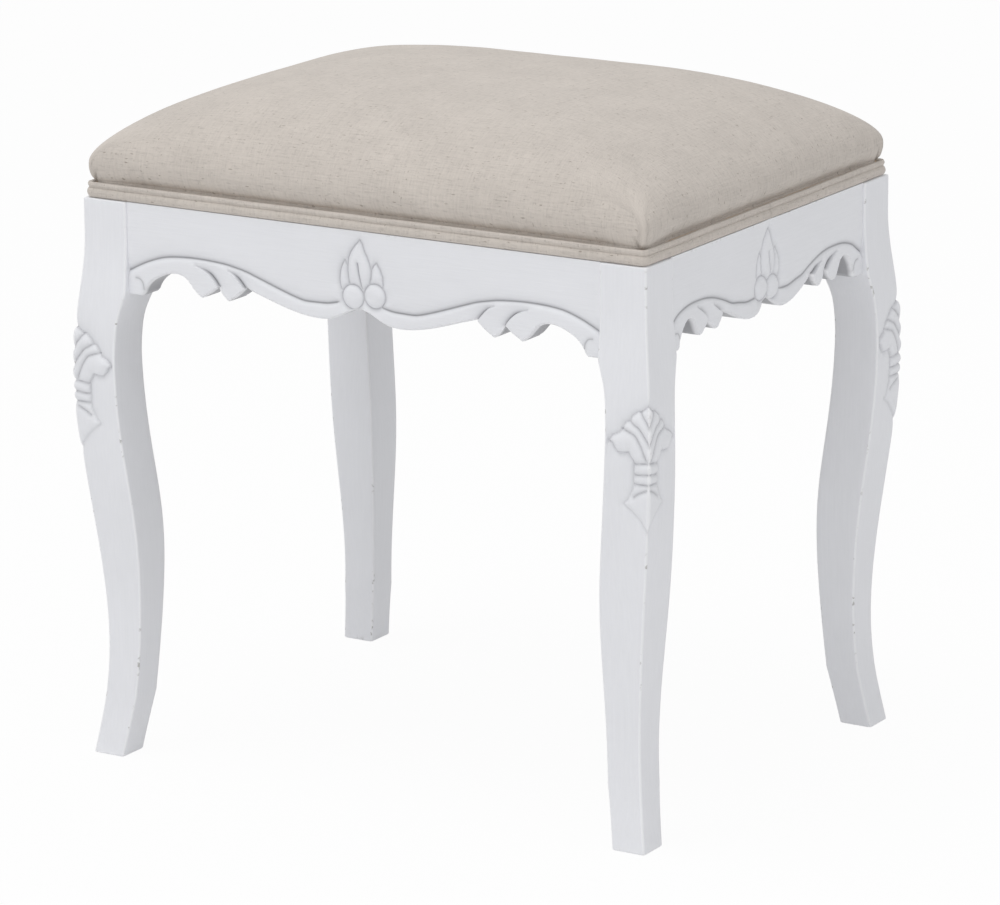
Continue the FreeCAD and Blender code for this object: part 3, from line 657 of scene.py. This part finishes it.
def apron_piece(name, axis, sign, carving, shift):
    """Apron with its carved face, eased edges and plain back."""
    node = "apron_" + name
    mesh = nodes[node].data
    points = mesh_points(mesh)
    level = sign * np.max(sign * points[:, axis])
    turned = -sign if axis == 1 else sign
    loop = face_outline(points, mesh, axis, level) * np.array([turned, 1])
    loop = resampled_loop(loop, FINE_STEP, COARSE_STEP)
    count = len(loop)
    face, faces, rim_index, painted_shade, rim = apron_face(loop, carving, shift)
    wall = face[rim_index, :2]
    local = np.vstack([face] + [np.column_stack([wall, np.full(count, deep)]) for deep in APRON_LEVELS])
    rings = [rim_index]
    for layer in range(len(APRON_LEVELS)):
        rings.append([len(face) + layer * count + i for i in range(count)])
    for first, second in zip(rings, rings[1:]):
        for i in range(count):
            j = (i + 1) % count
            faces.append((first[i], first[j], second[j], second[i]))
    spots, back_faces, back_index = triangulated(wall, count)
    corner_of = {index: corner for corner, index in enumerate(back_index)}
    middles = np.array([spots[list(corners)].mean(axis=0) for corners in back_faces])
    for corners, inside in zip(back_faces, within(middles, wall)):
        if inside:
            faces.append(tuple(rings[-1][corner_of[v]] for v in corners))
    world = np.empty((len(local), 3))
    world[:, 1 - axis] = local[:, 0] * turned
    world[:, axis] = level - sign * local[:, 2]
    world[:, 2] = local[:, 1]
    # Painted shade on the walls of the apron's lower edges, which face down.
    underside_shade = np.where(loop[:, 1] < FRAME_TOP - 1.0, 0.9, 0.0)
    attributes = {
        "painted_shade": np.concatenate([painted_shade] + [underside_shade] * len(APRON_LEVELS)),
        "rim": np.concatenate([rim, np.zeros(count * len(APRON_LEVELS))]),
    }
    piece = new_piece(node + "_carved", world, faces, PAINT_LEVEL, attributes)
    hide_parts(node)
    return piece


apron_piece("front", 1, -1, LONG_CARVING, 0.0)
apron_piece("back", 1, 1, LONG_CARVING, -2.0)
apron_piece("left", 0, -1, SHORT_CARVING, 2.0)
apron_piece("right", 0, 1, SHORT_CARVING, 2.0)


# Legs

LEG_CORNER, FOOT_EASE, HEAD_EASE, LEG_FULL = 1.6, 1.5, 0.8, 0.8
SHELL_RISE, SHELL_SINK, SHELL_CUT = 1.4, 2.2, 2.2
# Heights between which the carving of the shell gains its full depth
SHELL_FAINT, SHELL_FULL = 240.0, 262.0
SHELL = [
    (0, 309.5), (4.2, 306.8), (7.2, 305), (9.5, 304.8), (13.3, 302), (16, 298.6), (18.7, 297),
    (21.8, 292.5), (22.8, 290.3), (28.6, 287.2), (31.6, 283.6), (29, 282.7), (26.8, 279.1), (24.4, 276.5),
    (20, 276.6), (16.2, 277.4), (15, 274.8), (12.7, 271.6), (12.7, 263), (12.7, 256), (12.9, 253),
    (15, 248.5), (16.5, 244.8), (19.6, 241.6), (17.4, 240.6), (12, 237), (6.5, 232), (4.2, 229), (0, 223.6),
]
SHELL_GROOVES = [
    [(7.2, 304.6), (4.8, 301.5), (2, 297.8), (0.2, 293.9)],
    [(16, 298.4), (11.7, 295.8), (8.7, 294.2), (5.6, 290.4), (2, 285.4), (0.2, 282)],
    [(21.8, 292.5), (16.4, 291), (11.7, 289), (8.7, 285), (6.4, 280.7), (4.1, 275.5), (3, 272.9)],
    [(0, 271.4), (12.7, 269.9)],
    [(0, 263.8), (12.7, 262.3)],
    [(0, 256.7), (12.7, 256)],
    [(11.8, 247.2), (8.7, 249.7), (2.6, 252.6)],
]


def knee_relief(s, z):
    """Height of the carved shell over the knee's plain face, and the shade in its hollows."""
    points = np.column_stack([np.abs(s), z])
    shell = np.asarray(SHELL, float)
    polygon = np.vstack([shell, [(-50.0, shell[-1, 1]), (-50.0, shell[0, 1])]])
    inside = within(points, polygon)
    gap = nearest(points, shell)[0]
    full = smoothstep(SHELL_FAINT, SHELL_FULL, z)
    raised = SHELL_RISE * (1 - 2 * np.exp(-gap / 1.6))
    sunk = -SHELL_SINK * np.exp(-gap / 3.6)
    height = (0.6 + 0.4 * full) * np.where(inside, raised, sunk)
    # Painted shade along the shell's outline and in its grooves.
    line = np.where(inside, np.exp(-(gap / 0.6) ** 2), np.exp(-gap / 1.1))
    shade = (0.2 + 0.18 * full) * line
    for line in SHELL_GROOVES:
        gap = nearest(points, smooth_line(line, 4))[0]
        height = height - np.where(inside, SHELL_CUT * np.exp(-gap / 1.7), 0.0)
        shade = np.maximum(shade, np.where(inside, 0.6 * np.exp(-gap / 0.8), 0.0))
    return height, shade


def square_template(fine=34, coarse=8):
    """Points around a rounded square as shares of its sides and corner radius, with their directions."""
    corners = [(0, 0), (1, 0), (1, 1), (0, 1)]
    rows = []
    for number, corner in enumerate(corners):
        arc = 6 if number == 0 else 4
        for turn in np.radians(180.0 + 90.0 * (number + np.arange(arc + 1) / arc)):
            way = (math.cos(turn), math.sin(turn))
            lean = [w + 1 - 2 * c for w, c in zip(way, corner)]
            rows.append((corner[0], lean[0], corner[1], lean[1]) + way + (number == 0,))
        following = corners[(number + 1) % 4]
        outer = number in (0, 3)
        steps = fine if outer else coarse
        for t in np.arange(1, steps) / steps:
            side = [a + (b - a) * t for a, b in zip(corner, following)]
            lean = [(1 - 2 * c) * (a != b) for c, a, b in zip(side, corner, following)]
            rows.append((side[0], lean[0], side[1], lean[1]) + way + (outer,))
    return np.array(rows, float)


TEMPLATE = square_template()


def leg_sections(points, mesh, levels):
    """Least and greatest X and Y of a leg at each level."""
    edges = np.array([edge.vertices[:] for edge in mesh.edges])
    a, b = points[edges[:, 0]], points[edges[:, 1]]
    found = []
    for z in levels:
        crossing = (a[:, 2] - z) * (b[:, 2] - z) < 0
        t = ((z - a[:, 2]) / np.where(a[:, 2] == b[:, 2], 1.0, b[:, 2] - a[:, 2]))[crossing, None]
        at = a[crossing] + (b[crossing] - a[crossing]) * t
        found.append((at[:, 0].min(), at[:, 0].max(), at[:, 1].min(), at[:, 1].max()))
    return np.array(found)


def leg_piece(name, sign_x, sign_y):
    """Leg swept through its square sections, edges eased, with the shell carved on its knee."""
    node = "leg_" + name
    mesh = nodes[node].data
    levels = np.concatenate([
        np.linspace(0, FOOT_EASE, 5), np.arange(4, 215, 2.5), np.arange(215, 318, 0.9),
        np.arange(318, 399, 2.5), np.linspace(FRAME_TOP - HEAD_EASE, FRAME_TOP, 4),
    ])
    sections = leg_sections(mesh_points(mesh), mesh, np.clip(levels, 0.3, FRAME_TOP - 0.3))
    out_x, in_x = (sections[:, 1], sections[:, 0]) if sign_x > 0 else (sections[:, 0], sections[:, 1])
    out_y, in_y = (sections[:, 3], sections[:, 2]) if sign_y > 0 else (sections[:, 2], sections[:, 3])
    full = LEG_FULL * smoothstep(0.0, 60.0, levels) * (1 - 0.5 * smoothstep(320.0, 370.0, levels))
    shrink = eased(levels, FOOT_EASE) + eased(FRAME_TOP - levels, HEAD_EASE) - full
    tight = full * smoothstep(300.0, 325.0, levels)
    side_i, lean_i, side_j, lean_j, way_i, way_j, outer = TEMPLATE.T
    out_x, out_y = out_x - sign_x * shrink, out_y - sign_y * shrink
    in_x, in_y = in_x + sign_x * (shrink + tight), in_y + sign_y * (shrink + tight)
    x = out_x[:, None] + (in_x - out_x)[:, None] * side_i - sign_x * LEG_CORNER * lean_i
    y = out_y[:, None] + (in_y - out_y)[:, None] * side_j - sign_y * LEG_CORNER * lean_j
    z = np.repeat(levels[:, None], len(TEMPLATE), axis=1)
    s = np.abs(np.abs(x - out_x[:, None]) - np.abs(y - out_y[:, None]))
    height, shade = knee_relief(s.ravel(), z.ravel())
    height = height.reshape(s.shape) * outer
    shade = shade.reshape(s.shape) * outer
    x = x - sign_x * way_i * height
    y = y - sign_y * way_j * height
    corner = (np.abs(way_i) > 0.05) & (np.abs(way_j) > 0.05)
    # Edge mask for the painted highlight and the worn spots: the leg's corners and its foot.
    rim = np.where(corner, 1.0, 0.0)[None, :] + np.exp(-levels / 1.5)[:, None]
    faces = ring_faces(*s.shape)
    world = np.column_stack([x.ravel(), y.ravel(), z.ravel()])
    attributes = {"painted_shade": shade.ravel(), "rim": np.clip(rim, 0.0, 1.0).ravel()}
    piece = new_piece(node + "_carved", world, faces, PAINT_UPRIGHT, attributes)
    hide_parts(node)
    return piece


for leg_name in CORNERS:
    leg_piece(leg_name, 1 if "right" in leg_name else -1, 1 if "back" in leg_name else -1)


# Seat pad

PAD_X, PAD_Y = 222.9, 168.0
PAD_SIDE, PAD_CROWN, PAD_TURN, HEM = 424.6, 55.6, 4.5, 32.0
PAD_FLATNESS, PAD_RISE = 3.57, 0.567
# Sharpness of the pad's corners at its seam, at its fullest part and towards the crown
SEAM_POWER, SIDE_POWER, TOP_POWER, POWER_SPREAD = 85.0, 62.0, 2.4, 0.62


def rounded_ring(half_x, half_y, radius, count):
    """Points at even steps around a rounded rectangle, from the middle of its right side."""
    quarter = np.linspace(0.0, math.pi / 2, 13)
    corners = []
    for turn, (sx, sy) in enumerate([(1, 1), (-1, 1), (-1, -1), (1, -1)]):
        angle = quarter + turn * math.pi / 2
        centre = np.array([sx * (half_x - radius), sy * (half_y - radius)])
        corners.append(centre + radius * np.column_stack([np.cos(angle), np.sin(angle)]))
    line = np.vstack([[(half_x, 0.0)]] + corners + [[(half_x, 0.0)]])
    return points_along(line, np.linspace(0.0, run_along(line)[-1], count, endpoint=False))


def soft_ring(half_x, half_y, power, count):
    """Points around a rectangle with soft corners: the higher the power, the sharper the corners."""
    angle = np.linspace(0.0, 2 * math.pi, count, endpoint=False) + 1e-4
    c, s = np.cos(angle), np.sin(angle)
    log_x = power * np.log(np.maximum(np.abs(c) / half_x, 1e-9))
    log_y = power * np.log(np.maximum(np.abs(s) / half_y, 1e-9))
    far = np.exp(-np.logaddexp(log_x, log_y) / power)
    return np.column_stack([far * c, far * s])


def pad_sections(inset, drop):
    """Level sections of the pad: half sizes, power of the corners and height."""
    sections = [(SKIRT_X - HEM, SKIRT_Y - HEM, SEAM_POWER, FRAME_TOP + 0.2)]
    sections += [(SKIRT_X - 0.4, SKIRT_Y - 0.4, SEAM_POWER, FRAME_TOP + 0.2)]
    for z in np.linspace(FRAME_TOP + 0.8, SEAM - 0.6, 5):
        sections.append((SKIRT_X - 0.1, SKIRT_Y - 0.1, SEAM_POWER, z))
    for t in np.linspace(0.0, 1.0, 9):
        swell = PAD_TURN * (1 - t) ** 2.6 + inset * t
        z = SEAM - 0.5 + (PAD_SIDE - SEAM + 0.5) * t
        sections.append((PAD_X - swell, PAD_Y - swell, SEAM_POWER + (SIDE_POWER - SEAM_POWER) * t, z))
    for scale in 1.0 - np.linspace(0.0, 0.97, 60)[1:] ** 1.7:
        z = PAD_SIDE + (PAD_CROWN - drop) * (1 - scale ** PAD_FLATNESS) ** PAD_RISE
        power = TOP_POWER + POWER_SPREAD / (1 - scale + POWER_SPREAD / (SIDE_POWER - TOP_POWER))
        sections.append(((PAD_X - inset) * scale, (PAD_Y - inset) * scale, power, z))
    return sections


def section_mesh(name, sections, count):
    """Closed mesh through level sections."""
    rings = []
    for half_x, half_y, power, z in sections:
        rings.append(np.column_stack([soft_ring(half_x, half_y, power, count), np.full(count, z)]))
    mesh = bpy.data.meshes.new(name)
    mesh.from_pydata((np.vstack(rings) * MM).tolist(), [], ring_faces(len(rings), count))
    return mesh


def evaluated_mesh(item):
    """Mesh of an object with its modifiers applied."""
    graph = bpy.context.evaluated_depsgraph_get()
    return bpy.data.meshes.new_from_object(item.evaluated_get(graph))


# The pad before it is blown up: how much smaller, how much lower, and the cells of its mesh
START_INSET, START_DROP, START_CELL = 0.5, 5.0, 5.0
SWELL_FRAMES, SWELL_REACH = 20, 7.0
CLOTH_SETTINGS = {
    "quality": 4, "mass": 0.3, "tension_stiffness": 25.0, "compression_stiffness": 25.0,
    "shear_stiffness": 10.0, "bending_stiffness": 20.0, "use_pressure": True, "uniform_pressure_force": 4.0,
}


def swollen_pad():
    """Pad blown up from a slightly smaller one, held below its seam, as the stuffing fills the linen."""
    mesh = section_mesh("pad_start", pad_sections(START_INSET, START_DROP), 900)
    item = linked("pad_start", mesh)
    remesh = item.modifiers.new("even", "REMESH")
    remesh.mode = "VOXEL"
    remesh.voxel_size = START_CELL * MM
    even = evaluated_mesh(item)
    item.modifiers.clear()
    item.data = even
    start = mesh_points(even)
    held = item.vertex_groups.new(name="held")
    held.add(np.flatnonzero(start[:, 2] < SEAM + 1.5).tolist(), 1.0, "REPLACE")
    cloth = item.modifiers.new("swell", "CLOTH")
    for key, value in CLOTH_SETTINGS.items():
        setattr(cloth.settings, key, value)
    cloth.settings.vertex_group_mass = "held"
    cloth.settings.effector_weights.gravity = 0.0
    cloth.collision_settings.use_collision = False
    cloth.point_cache.frame_start = 1
    cloth.point_cache.frame_end = SWELL_FRAMES
    for number in range(1, SWELL_FRAMES + 1):
        bpy.context.scene.frame_set(number)
    final = mesh_points(evaluated_mesh(item))
    item.modifiers.clear()
    bpy.context.scene.frame_set(1)
    move = final - start
    reach = np.linalg.norm(move, axis=1)
    move *= np.minimum(1.0, SWELL_REACH / np.maximum(reach, 1e-6))[:, None]
    faces = [tuple(face.vertices) for face in even.polygons]
    bpy.data.objects.remove(item)
    return start + move, faces


# Share of the blown-up form's own unevenness that stays on the pad
SWELL_SHARE, SWELL_MOST = 0.05, 4.0


def settled(points):
    """Pad drawn to its upholstered form from the middle of its seam, with some of its own unevenness."""
    mesh = section_mesh("pad_form", pad_sections(0.0, 0.0), 1200)
    corners = [v.co / MM for v in mesh.vertices]
    tree = BVHTree.FromPolygons(corners, [tuple(face.vertices) for face in mesh.polygons])
    centre = Vector((0.0, 0.0, SEAM + 2.0))
    result = points.copy()
    for number in np.flatnonzero(points[:, 2] > SEAM + 0.5):
        way = Vector(points[number]) - centre
        far = way.length
        hit = tree.ray_cast(centre, way.normalized())[3]
        if hit is not None:
            uneven = SWELL_SHARE * min(max(far - hit, -SWELL_MOST), SWELL_MOST)
            result[number] = centre + way * ((hit + uneven) / far)
    return result


# Size of the squares at the pad's corners that get a finer mesh
CORNER_REACH = 24.0


def subdivided(points, faces):
    """Mesh with each face divided in four, and once more at the corners above the seam."""
    mesh = bpy.data.meshes.new("pad_fine")
    mesh.from_pydata((points * MM).tolist(), [], faces)
    item = linked("pad_fine", mesh)
    modifier = item.modifiers.new("finer", "SUBSURF")
    modifier.levels = 1
    fine = evaluated_mesh(item)
    bpy.data.objects.remove(item)
    shape = bmesh.new()
    shape.from_mesh(fine)
    x, y, z = np.abs(mesh_points(fine)).T
    close = (x > PAD_X - CORNER_REACH) & (y > PAD_Y - CORNER_REACH) & (z > SEAM - 2)
    turning = [e for e in shape.edges if close[e.verts[0].index] and close[e.verts[1].index]]
    bmesh.ops.subdivide_edges(shape, edges=turning, cuts=1, use_grid_fill=True)
    shape.to_mesh(fine)
    shape.free()
    return mesh_points(fine), [tuple(face.vertices) for face in fine.polygons]


# Tucks where the linen is folded at a corner: which corner, side of it, distance along the side, depth
TUCKS = [
    (1, -1, "y", 7.0, 1.0), (1, -1, "x", 9.0, 0.3), (-1, -1, "y", 6.0, 1.2), (-1, 1, "x", 7.0, 1.2),
    (1, 1, "x", 8.0, 1.3), (1, 1, "y", 8.0, 0.7), (-1, -1, "x", 9.0, 0.6), (-1, 1, "y", 8.0, 0.7),
]
# How far the linen rolls in over the band along the middle of each side
ROLL_UNDER = 3.4


def pad_details(points):
    """Pad with tucks at the corners, small puckers and a rolled edge, and the shade in its creases."""
    x, y, z = points.T.copy()
    side_x = (PAD_X - np.abs(x)) < (PAD_Y - np.abs(y))
    crease = np.zeros(len(points))
    push = np.zeros(len(points))
    low = smoothstep(SEAM - 3.0, SEAM + 0.5, z)
    for sx, sy, face, along, depth in TUCKS:
        if face == "y":
            distance = (PAD_X - sx * x) - along - 0.35 * (z - SEAM)
            on = (sy * y > 0) & ~side_x
        else:
            distance = (PAD_Y - sy * y) - along - 0.35 * (z - SEAM)
            on = (sx * x > 0) & side_x
        height = low * (1 - smoothstep(SEAM + 2.0, SEAM + 13.0, z))
        line = np.exp(-(distance / 1.8) ** 2) - 0.45 * np.exp(-((distance + 3.2) / 2.4) ** 2)
        push += np.where(on, -depth * height * line, 0.0)
        # Painted shade in each tuck.
        shade = np.exp(-(distance / 0.9) ** 2) * height * depth / 1.4
        crease = np.maximum(crease, np.where(on, shade, 0.0))
    ripple = np.array([noise.noise(Vector((a * 0.03, b * 0.03, c * 0.012))) for a, b, c in points])
    wave = np.array([noise.noise(Vector((a * 0.11, b * 0.11, 7.0))) for a, b, c in points])
    side = low * (1 - smoothstep(SEAM + 6.0, SEAM + 26.0, z))
    push += 0.5 * wave * side + 0.35 * ripple * low
    from_corner = np.where(side_x, PAD_Y - np.abs(y), PAD_X - np.abs(x))
    rolled = 1 - smoothstep(SEAM - 1.0, SEAM + 19.0, z)
    push -= ROLL_UNDER * low * rolled ** 2 * smoothstep(4.0, 45.0, from_corner)
    flat = np.where(side_x, np.sign(x), 0.0), np.where(side_x, 0.0, np.sign(y))
    dome = smoothstep(SEAM + 20.0, SEAM + 55.0, z)
    way = np.column_stack([flat[0] * (1 - dome), flat[1] * (1 - dome), dome])
    # Painted shade along the foot of the pad, under its swell.
    under = smoothstep(SEAM + 2.0, SEAM - 1.5, z) * 0.2
    return points + way * push[:, None], np.maximum(crease, under)


def cloth_place(points):
    """Place on the linen, laid over the crown and straight down the sides, and how drawn it is."""
    x, y, z = points.T
    over_x, over_y = np.abs(x) / PAD_X, np.abs(y) / PAD_Y
    drop = np.maximum(PAD_SIDE + PAD_CROWN - z, 0.0)
    width = 0.03 + 0.25 * (1 - smoothstep(25.0, 50.0, drop))
    share = smoothstep(-1.0, 1.0, (over_x - over_y) / width)
    along_x = x + np.sign(x) * drop * share
    along_y = y + np.sign(y) * drop * (1 - share)
    calm = np.clip(4.0 * share * (1 - share), 0.0, 1.0) * smoothstep(20.0, 40.0, drop)
    return np.column_stack([along_x, along_y, np.zeros(len(x))]) * MM, calm


pad_points, pad_faces = swollen_pad()
pad_points, pad_faces = subdivided(pad_points, pad_faces)
pad_points = settled(pad_points)
pad_cloth, pad_calm = cloth_place(pad_points)
pad_points, pad_crease = pad_details(pad_points)
pad_places = {"cloth": pad_cloth, "crease": pad_crease, "calm": pad_calm}
cushion = new_piece("seat_cushion", pad_points, pad_faces, LINEN, pad_places)
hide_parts("linen_cover", "wadding", "foam_pad")


# Double welt around the foot of the pad

ROLL_OUT, ROLL_HEIGHT = 3.2, 7.4
RIDGE_FOOT, RIDGE_OUT, RIDGE_HEIGHT = 1.7, 0.8, 3.7
BAND_ROOM, BAND_CORNER, BAND_COUNT = 0.9, 2.2, 900


def band_profile():
    """Outwards and upwards from the foot of the skirt: wide roll, groove, thin ridge."""
    profile = [(-1.5, 0.1)]
    for t in np.linspace(0.02, 0.94, 15):
        profile.append((ROLL_OUT * math.sin(math.pi * t) ** 0.45, 0.05 + ROLL_HEIGHT * t))
    for t in np.linspace(0.06, 0.97, 8):
        profile.append((RIDGE_FOOT + RIDGE_OUT * math.sin(math.pi * t), ROLL_HEIGHT + RIDGE_HEIGHT * t))
    return np.array(profile + [(-0.9, 10.7), (-1.5, 8.0)])


def band_piece():
    """Double welt swept around the pad's foot, slightly uneven as sewn cloth is."""
    profile = band_profile()
    count = BAND_COUNT
    path = rounded_ring(SKIRT_X + BAND_ROOM, SKIRT_Y + BAND_ROOM, BAND_CORNER, count)
    outward = -line_normals(np.vstack([path[-1:], path, path[:1]]))[1:-1]
    if (outward[0] * path[0]).sum() < 0:
        outward = -outward
    run = run_along(path)
    points, cloth, crease = [], [], []
    girth = run_along(profile)
    for i in range(count):
        uneven = noise.noise(Vector((path[i, 0] * 0.045, path[i, 1] * 0.045, 3.0)))
        lift = 0.3 * noise.noise(Vector((path[i, 0] * 0.03, path[i, 1] * 0.03, 9.0)))
        for (out, up), along in zip(profile, girth):
            grow = out * (1.0 + 0.07 * uneven) if out > 0 else out
            climb = lift * smoothstep(1.0, 8.0, up)
            x, y = path[i] + outward[i] * grow
            points.append((x, y, FRAME_TOP + up + climb))
            cloth.append((run[i] * MM, along * MM, 0.0))
            # Painted shade in the groove between the roll and the ridge.
            seam = math.exp(-((up - 7.5) / 0.7) ** 2) if out < 1.6 else 0.0
            crease.append(0.3 * seam)
    around = len(profile)
    index = np.arange(count * around).reshape(count, around)
    following = np.roll(index, -1, axis=0)
    corners = [index, following, np.roll(following, -1, axis=1), np.roll(index, -1, axis=1)]
    faces = np.stack(corners, axis=-1).reshape(-1, 4).tolist()
    piece = new_piece("trim_welt", points, faces, LINEN, {"cloth": cloth, "crease": crease}, 60.0)
    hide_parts("trim_band")
    return piece


band_piece()


# Dust cover

DUST_X, DUST_Y = node_reach("dust_cover")[:2]
DUST_CLIP, DUST_STEP, DUST_SAG, DUST_THICK = 63.0, 6.0, 2.2, 0.5


def dust_piece():
    """Black cloth under the board, stretched between its staples and sagging a little between them."""
    columns = np.linspace(-DUST_X, DUST_X, int(2 * DUST_X / DUST_STEP) + 1)
    rows = np.linspace(-DUST_Y, DUST_Y, int(2 * DUST_Y / DUST_STEP) + 1)
    clip_x, clip_y = DUST_X - DUST_CLIP, DUST_Y - DUST_CLIP
    outline = np.array([
        (-clip_x, -DUST_Y), (clip_x, -DUST_Y), (DUST_X, -clip_y), (DUST_X, clip_y),
        (clip_x, DUST_Y), (-clip_x, DUST_Y), (-DUST_X, clip_y), (-DUST_X, -clip_y),
    ])
    rim = even_line(closed(outline), DUST_STEP)[:-1]
    inner = np.array([(x, y) for x in columns for y in rows])
    inner = inner[within(inner, outline)]
    inner = inner[nearest(inner, closed(outline))[0] > 0.5 * DUST_STEP]
    flat, triangles, loop = triangulated(np.vstack([rim, inner]), len(rim))
    gap = nearest(flat, closed(outline))[0]
    sag = DUST_SAG * smoothstep(10.0, 120.0, gap)
    puff = np.array([noise.noise(Vector((x * 0.02, y * 0.02, 4.0))) for x, y in flat])
    sag += 0.5 * (1 + puff) * smoothstep(8.0, 40.0, gap)
    top = np.column_stack([flat, FRAME_TOP - 0.05 - sag])
    low = top - np.array([0.0, 0.0, DUST_THICK])
    count = len(flat)
    faces = triangles + [tuple(v + count for v in reversed(face)) for face in triangles]
    faces += [(a, b, b + count, a + count) for a, b in zip(loop, loop[1:] + loop[:1])]
    piece = new_piece("dust_cover_cloth", np.vstack([top, low]), faces, CAMBRIC)
    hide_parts("dust_cover")
    return piece


dust_piece()


# Pieces that keep their solid's form

def dress(names, material):
    """Give solids a material."""
    for name in names:
        surfaces = nodes[name].data.materials
        surfaces.clear()
        surfaces.append(material)


dress(["corner_block_" + corner for corner in CORNERS], WOOD)
dress(["dowels_" + side for side in SIDES], WOOD)
dress(["seat_board"], PLY)
dress(["corner_block_screws", "seat_screws", "staples"], ZINC)


# Floor, background and light

WHITE = (1.0, 1.0, 1.0, 1.0)
SKY_STRENGTH, BACKGROUND_STRENGTH = 0.66, 1.0
FLOOR_COLOUR, FLOOR_GLOW, FLOOR_HALF = (0.9, 0.9, 0.9, 1.0), 0.95, 30.0


def background(tree, output, lit, shown, share):
    """Shading that lights the object one way, and looks another to rays that see the background."""
    path = tree.nodes.new("ShaderNodeLightPath")
    seen = path.outputs["Is Camera Ray"]
    for kind in ("Is Glossy Ray", "Is Transmission Ray"):
        either = tree.nodes.new("ShaderNodeMath")
        either.operation = "MAXIMUM"
        tree.links.new(seen, either.inputs[0])
        tree.links.new(path.outputs[kind], either.inputs[1])
        seen = either.outputs[0]
    part = tree.nodes.new("ShaderNodeMath")
    part.operation = "MULTIPLY"
    part.inputs[1].default_value = share
    mix = tree.nodes.new("ShaderNodeMixShader")
    tree.links.new(seen, part.inputs[0])
    tree.links.new(part.outputs[0], mix.inputs[0])
    tree.links.new(lit.outputs[0], mix.inputs[1])
    tree.links.new(shown.outputs[0], mix.inputs[2])
    tree.links.new(mix.outputs[0], tree.nodes.new(output).inputs[0])


def floor_material():
    """White floor: the camera sees it almost evenly lit, with a faint shadow of the stool."""
    material = bpy.data.materials.new("white_floor")
    material.use_nodes = True
    tree = material.node_tree
    tree.nodes.clear()
    matt = tree.nodes.new("ShaderNodeBsdfDiffuse")
    matt.inputs["Color"].default_value = FLOOR_COLOUR
    glow = tree.nodes.new("ShaderNodeEmission")
    glow.inputs["Color"].default_value = WHITE
    background(tree, "ShaderNodeOutputMaterial", matt, glow, FLOOR_GLOW)
    return material


floor_mesh = bpy.data.meshes.new("floor")
floor_corners = [(-1, -1), (1, -1), (1, 1), (-1, 1)]
floor_mesh.from_pydata([(x * FLOOR_HALF, y * FLOOR_HALF, 0) for x, y in floor_corners], [], [(0, 1, 2, 3)])
floor_mesh.materials.append(floor_material())
floor = linked("floor", floor_mesh)

world = bpy.data.worlds.new("studio")
world.use_nodes = True
bpy.context.scene.world = world
sky = world.node_tree
sky.nodes.clear()
sky_light, sky_white = [sky.nodes.new("ShaderNodeBackground") for _ in range(2)]
for sky_node, strength in ((sky_light, SKY_STRENGTH), (sky_white, BACKGROUND_STRENGTH)):
    sky_node.inputs["Color"].default_value = WHITE
    sky_node.inputs["Strength"].default_value = strength
background(sky, "ShaderNodeOutputWorld", sky_light, sky_white, 1.0)


def soft_light(name, place, target, width, power):
    """Square lamp that looks at a target; lengths in metres, power in watts."""
    lamp = bpy.data.lights.new(name, "AREA")
    lamp.shape = "SQUARE"
    lamp.size = width
    lamp.energy = power
    item = linked(name, lamp)
    item.location = place
    item.rotation_euler = (Vector(target) - Vector(place)).to_track_quat("-Z", "Y").to_euler()
    return item


soft_light("top_light", (-0.35, -0.55, 2.5), (0.0, 0.0, 0.3), 1.2, 16.6)
soft_light("front_light", (-1.5, -2.6, 0.95), (0.0, 0.0, 0.25), 1.6, 3.8)
soft_light("side_light", (2.7, -0.9, 0.75), (0.0, 0.0, 0.2), 1.4, 2.6)
soft_light("low_light", (1.5, -2.8, 0.55), (0.0, 0.0, 0.2), 1.4, 8.6)

# Camera as the photograph was taken

# Angles in radians, lengths in metres, the lens and the sensor in millimetres
VIEW_AZIMUTH, VIEW_ELEVATION, VIEW_ROLL = 0.552129, 0.259027, -0.008576
VIEW_TARGET, VIEW_DISTANCE = Vector((0.00412, 0.00254, 0.20845)), 3.8248
VIEW_LENS, VIEW_SENSOR, VIEW_SHIFT = 196.016, 36.0, 0.001965

view_right = Vector((math.cos(VIEW_AZIMUTH), math.sin(VIEW_AZIMUTH), 0.0))
view_back = Vector((
    math.sin(VIEW_AZIMUTH) * math.cos(VIEW_ELEVATION),
    -math.cos(VIEW_AZIMUTH) * math.cos(VIEW_ELEVATION),
    math.sin(VIEW_ELEVATION),
))
view_up = view_back.cross(view_right)
rolled_right = math.cos(VIEW_ROLL) * view_right + math.sin(VIEW_ROLL) * view_up
rolled_up = math.cos(VIEW_ROLL) * view_up - math.sin(VIEW_ROLL) * view_right
camera_data = bpy.data.cameras.new("camera")
camera_data.sensor_fit = "HORIZONTAL"
camera_data.sensor_width = VIEW_SENSOR
camera_data.lens = VIEW_LENS
camera_data.shift_x = VIEW_SHIFT
camera = linked("camera", camera_data)
turn = Matrix((rolled_right, rolled_up, view_back)).transposed()
camera.matrix_world = Matrix.Translation(VIEW_TARGET + VIEW_DISTANCE * view_back) @ turn.to_4x4()
bpy.context.scene.camera = camera

bpy.context.scene.view_settings.view_transform = "Standard"
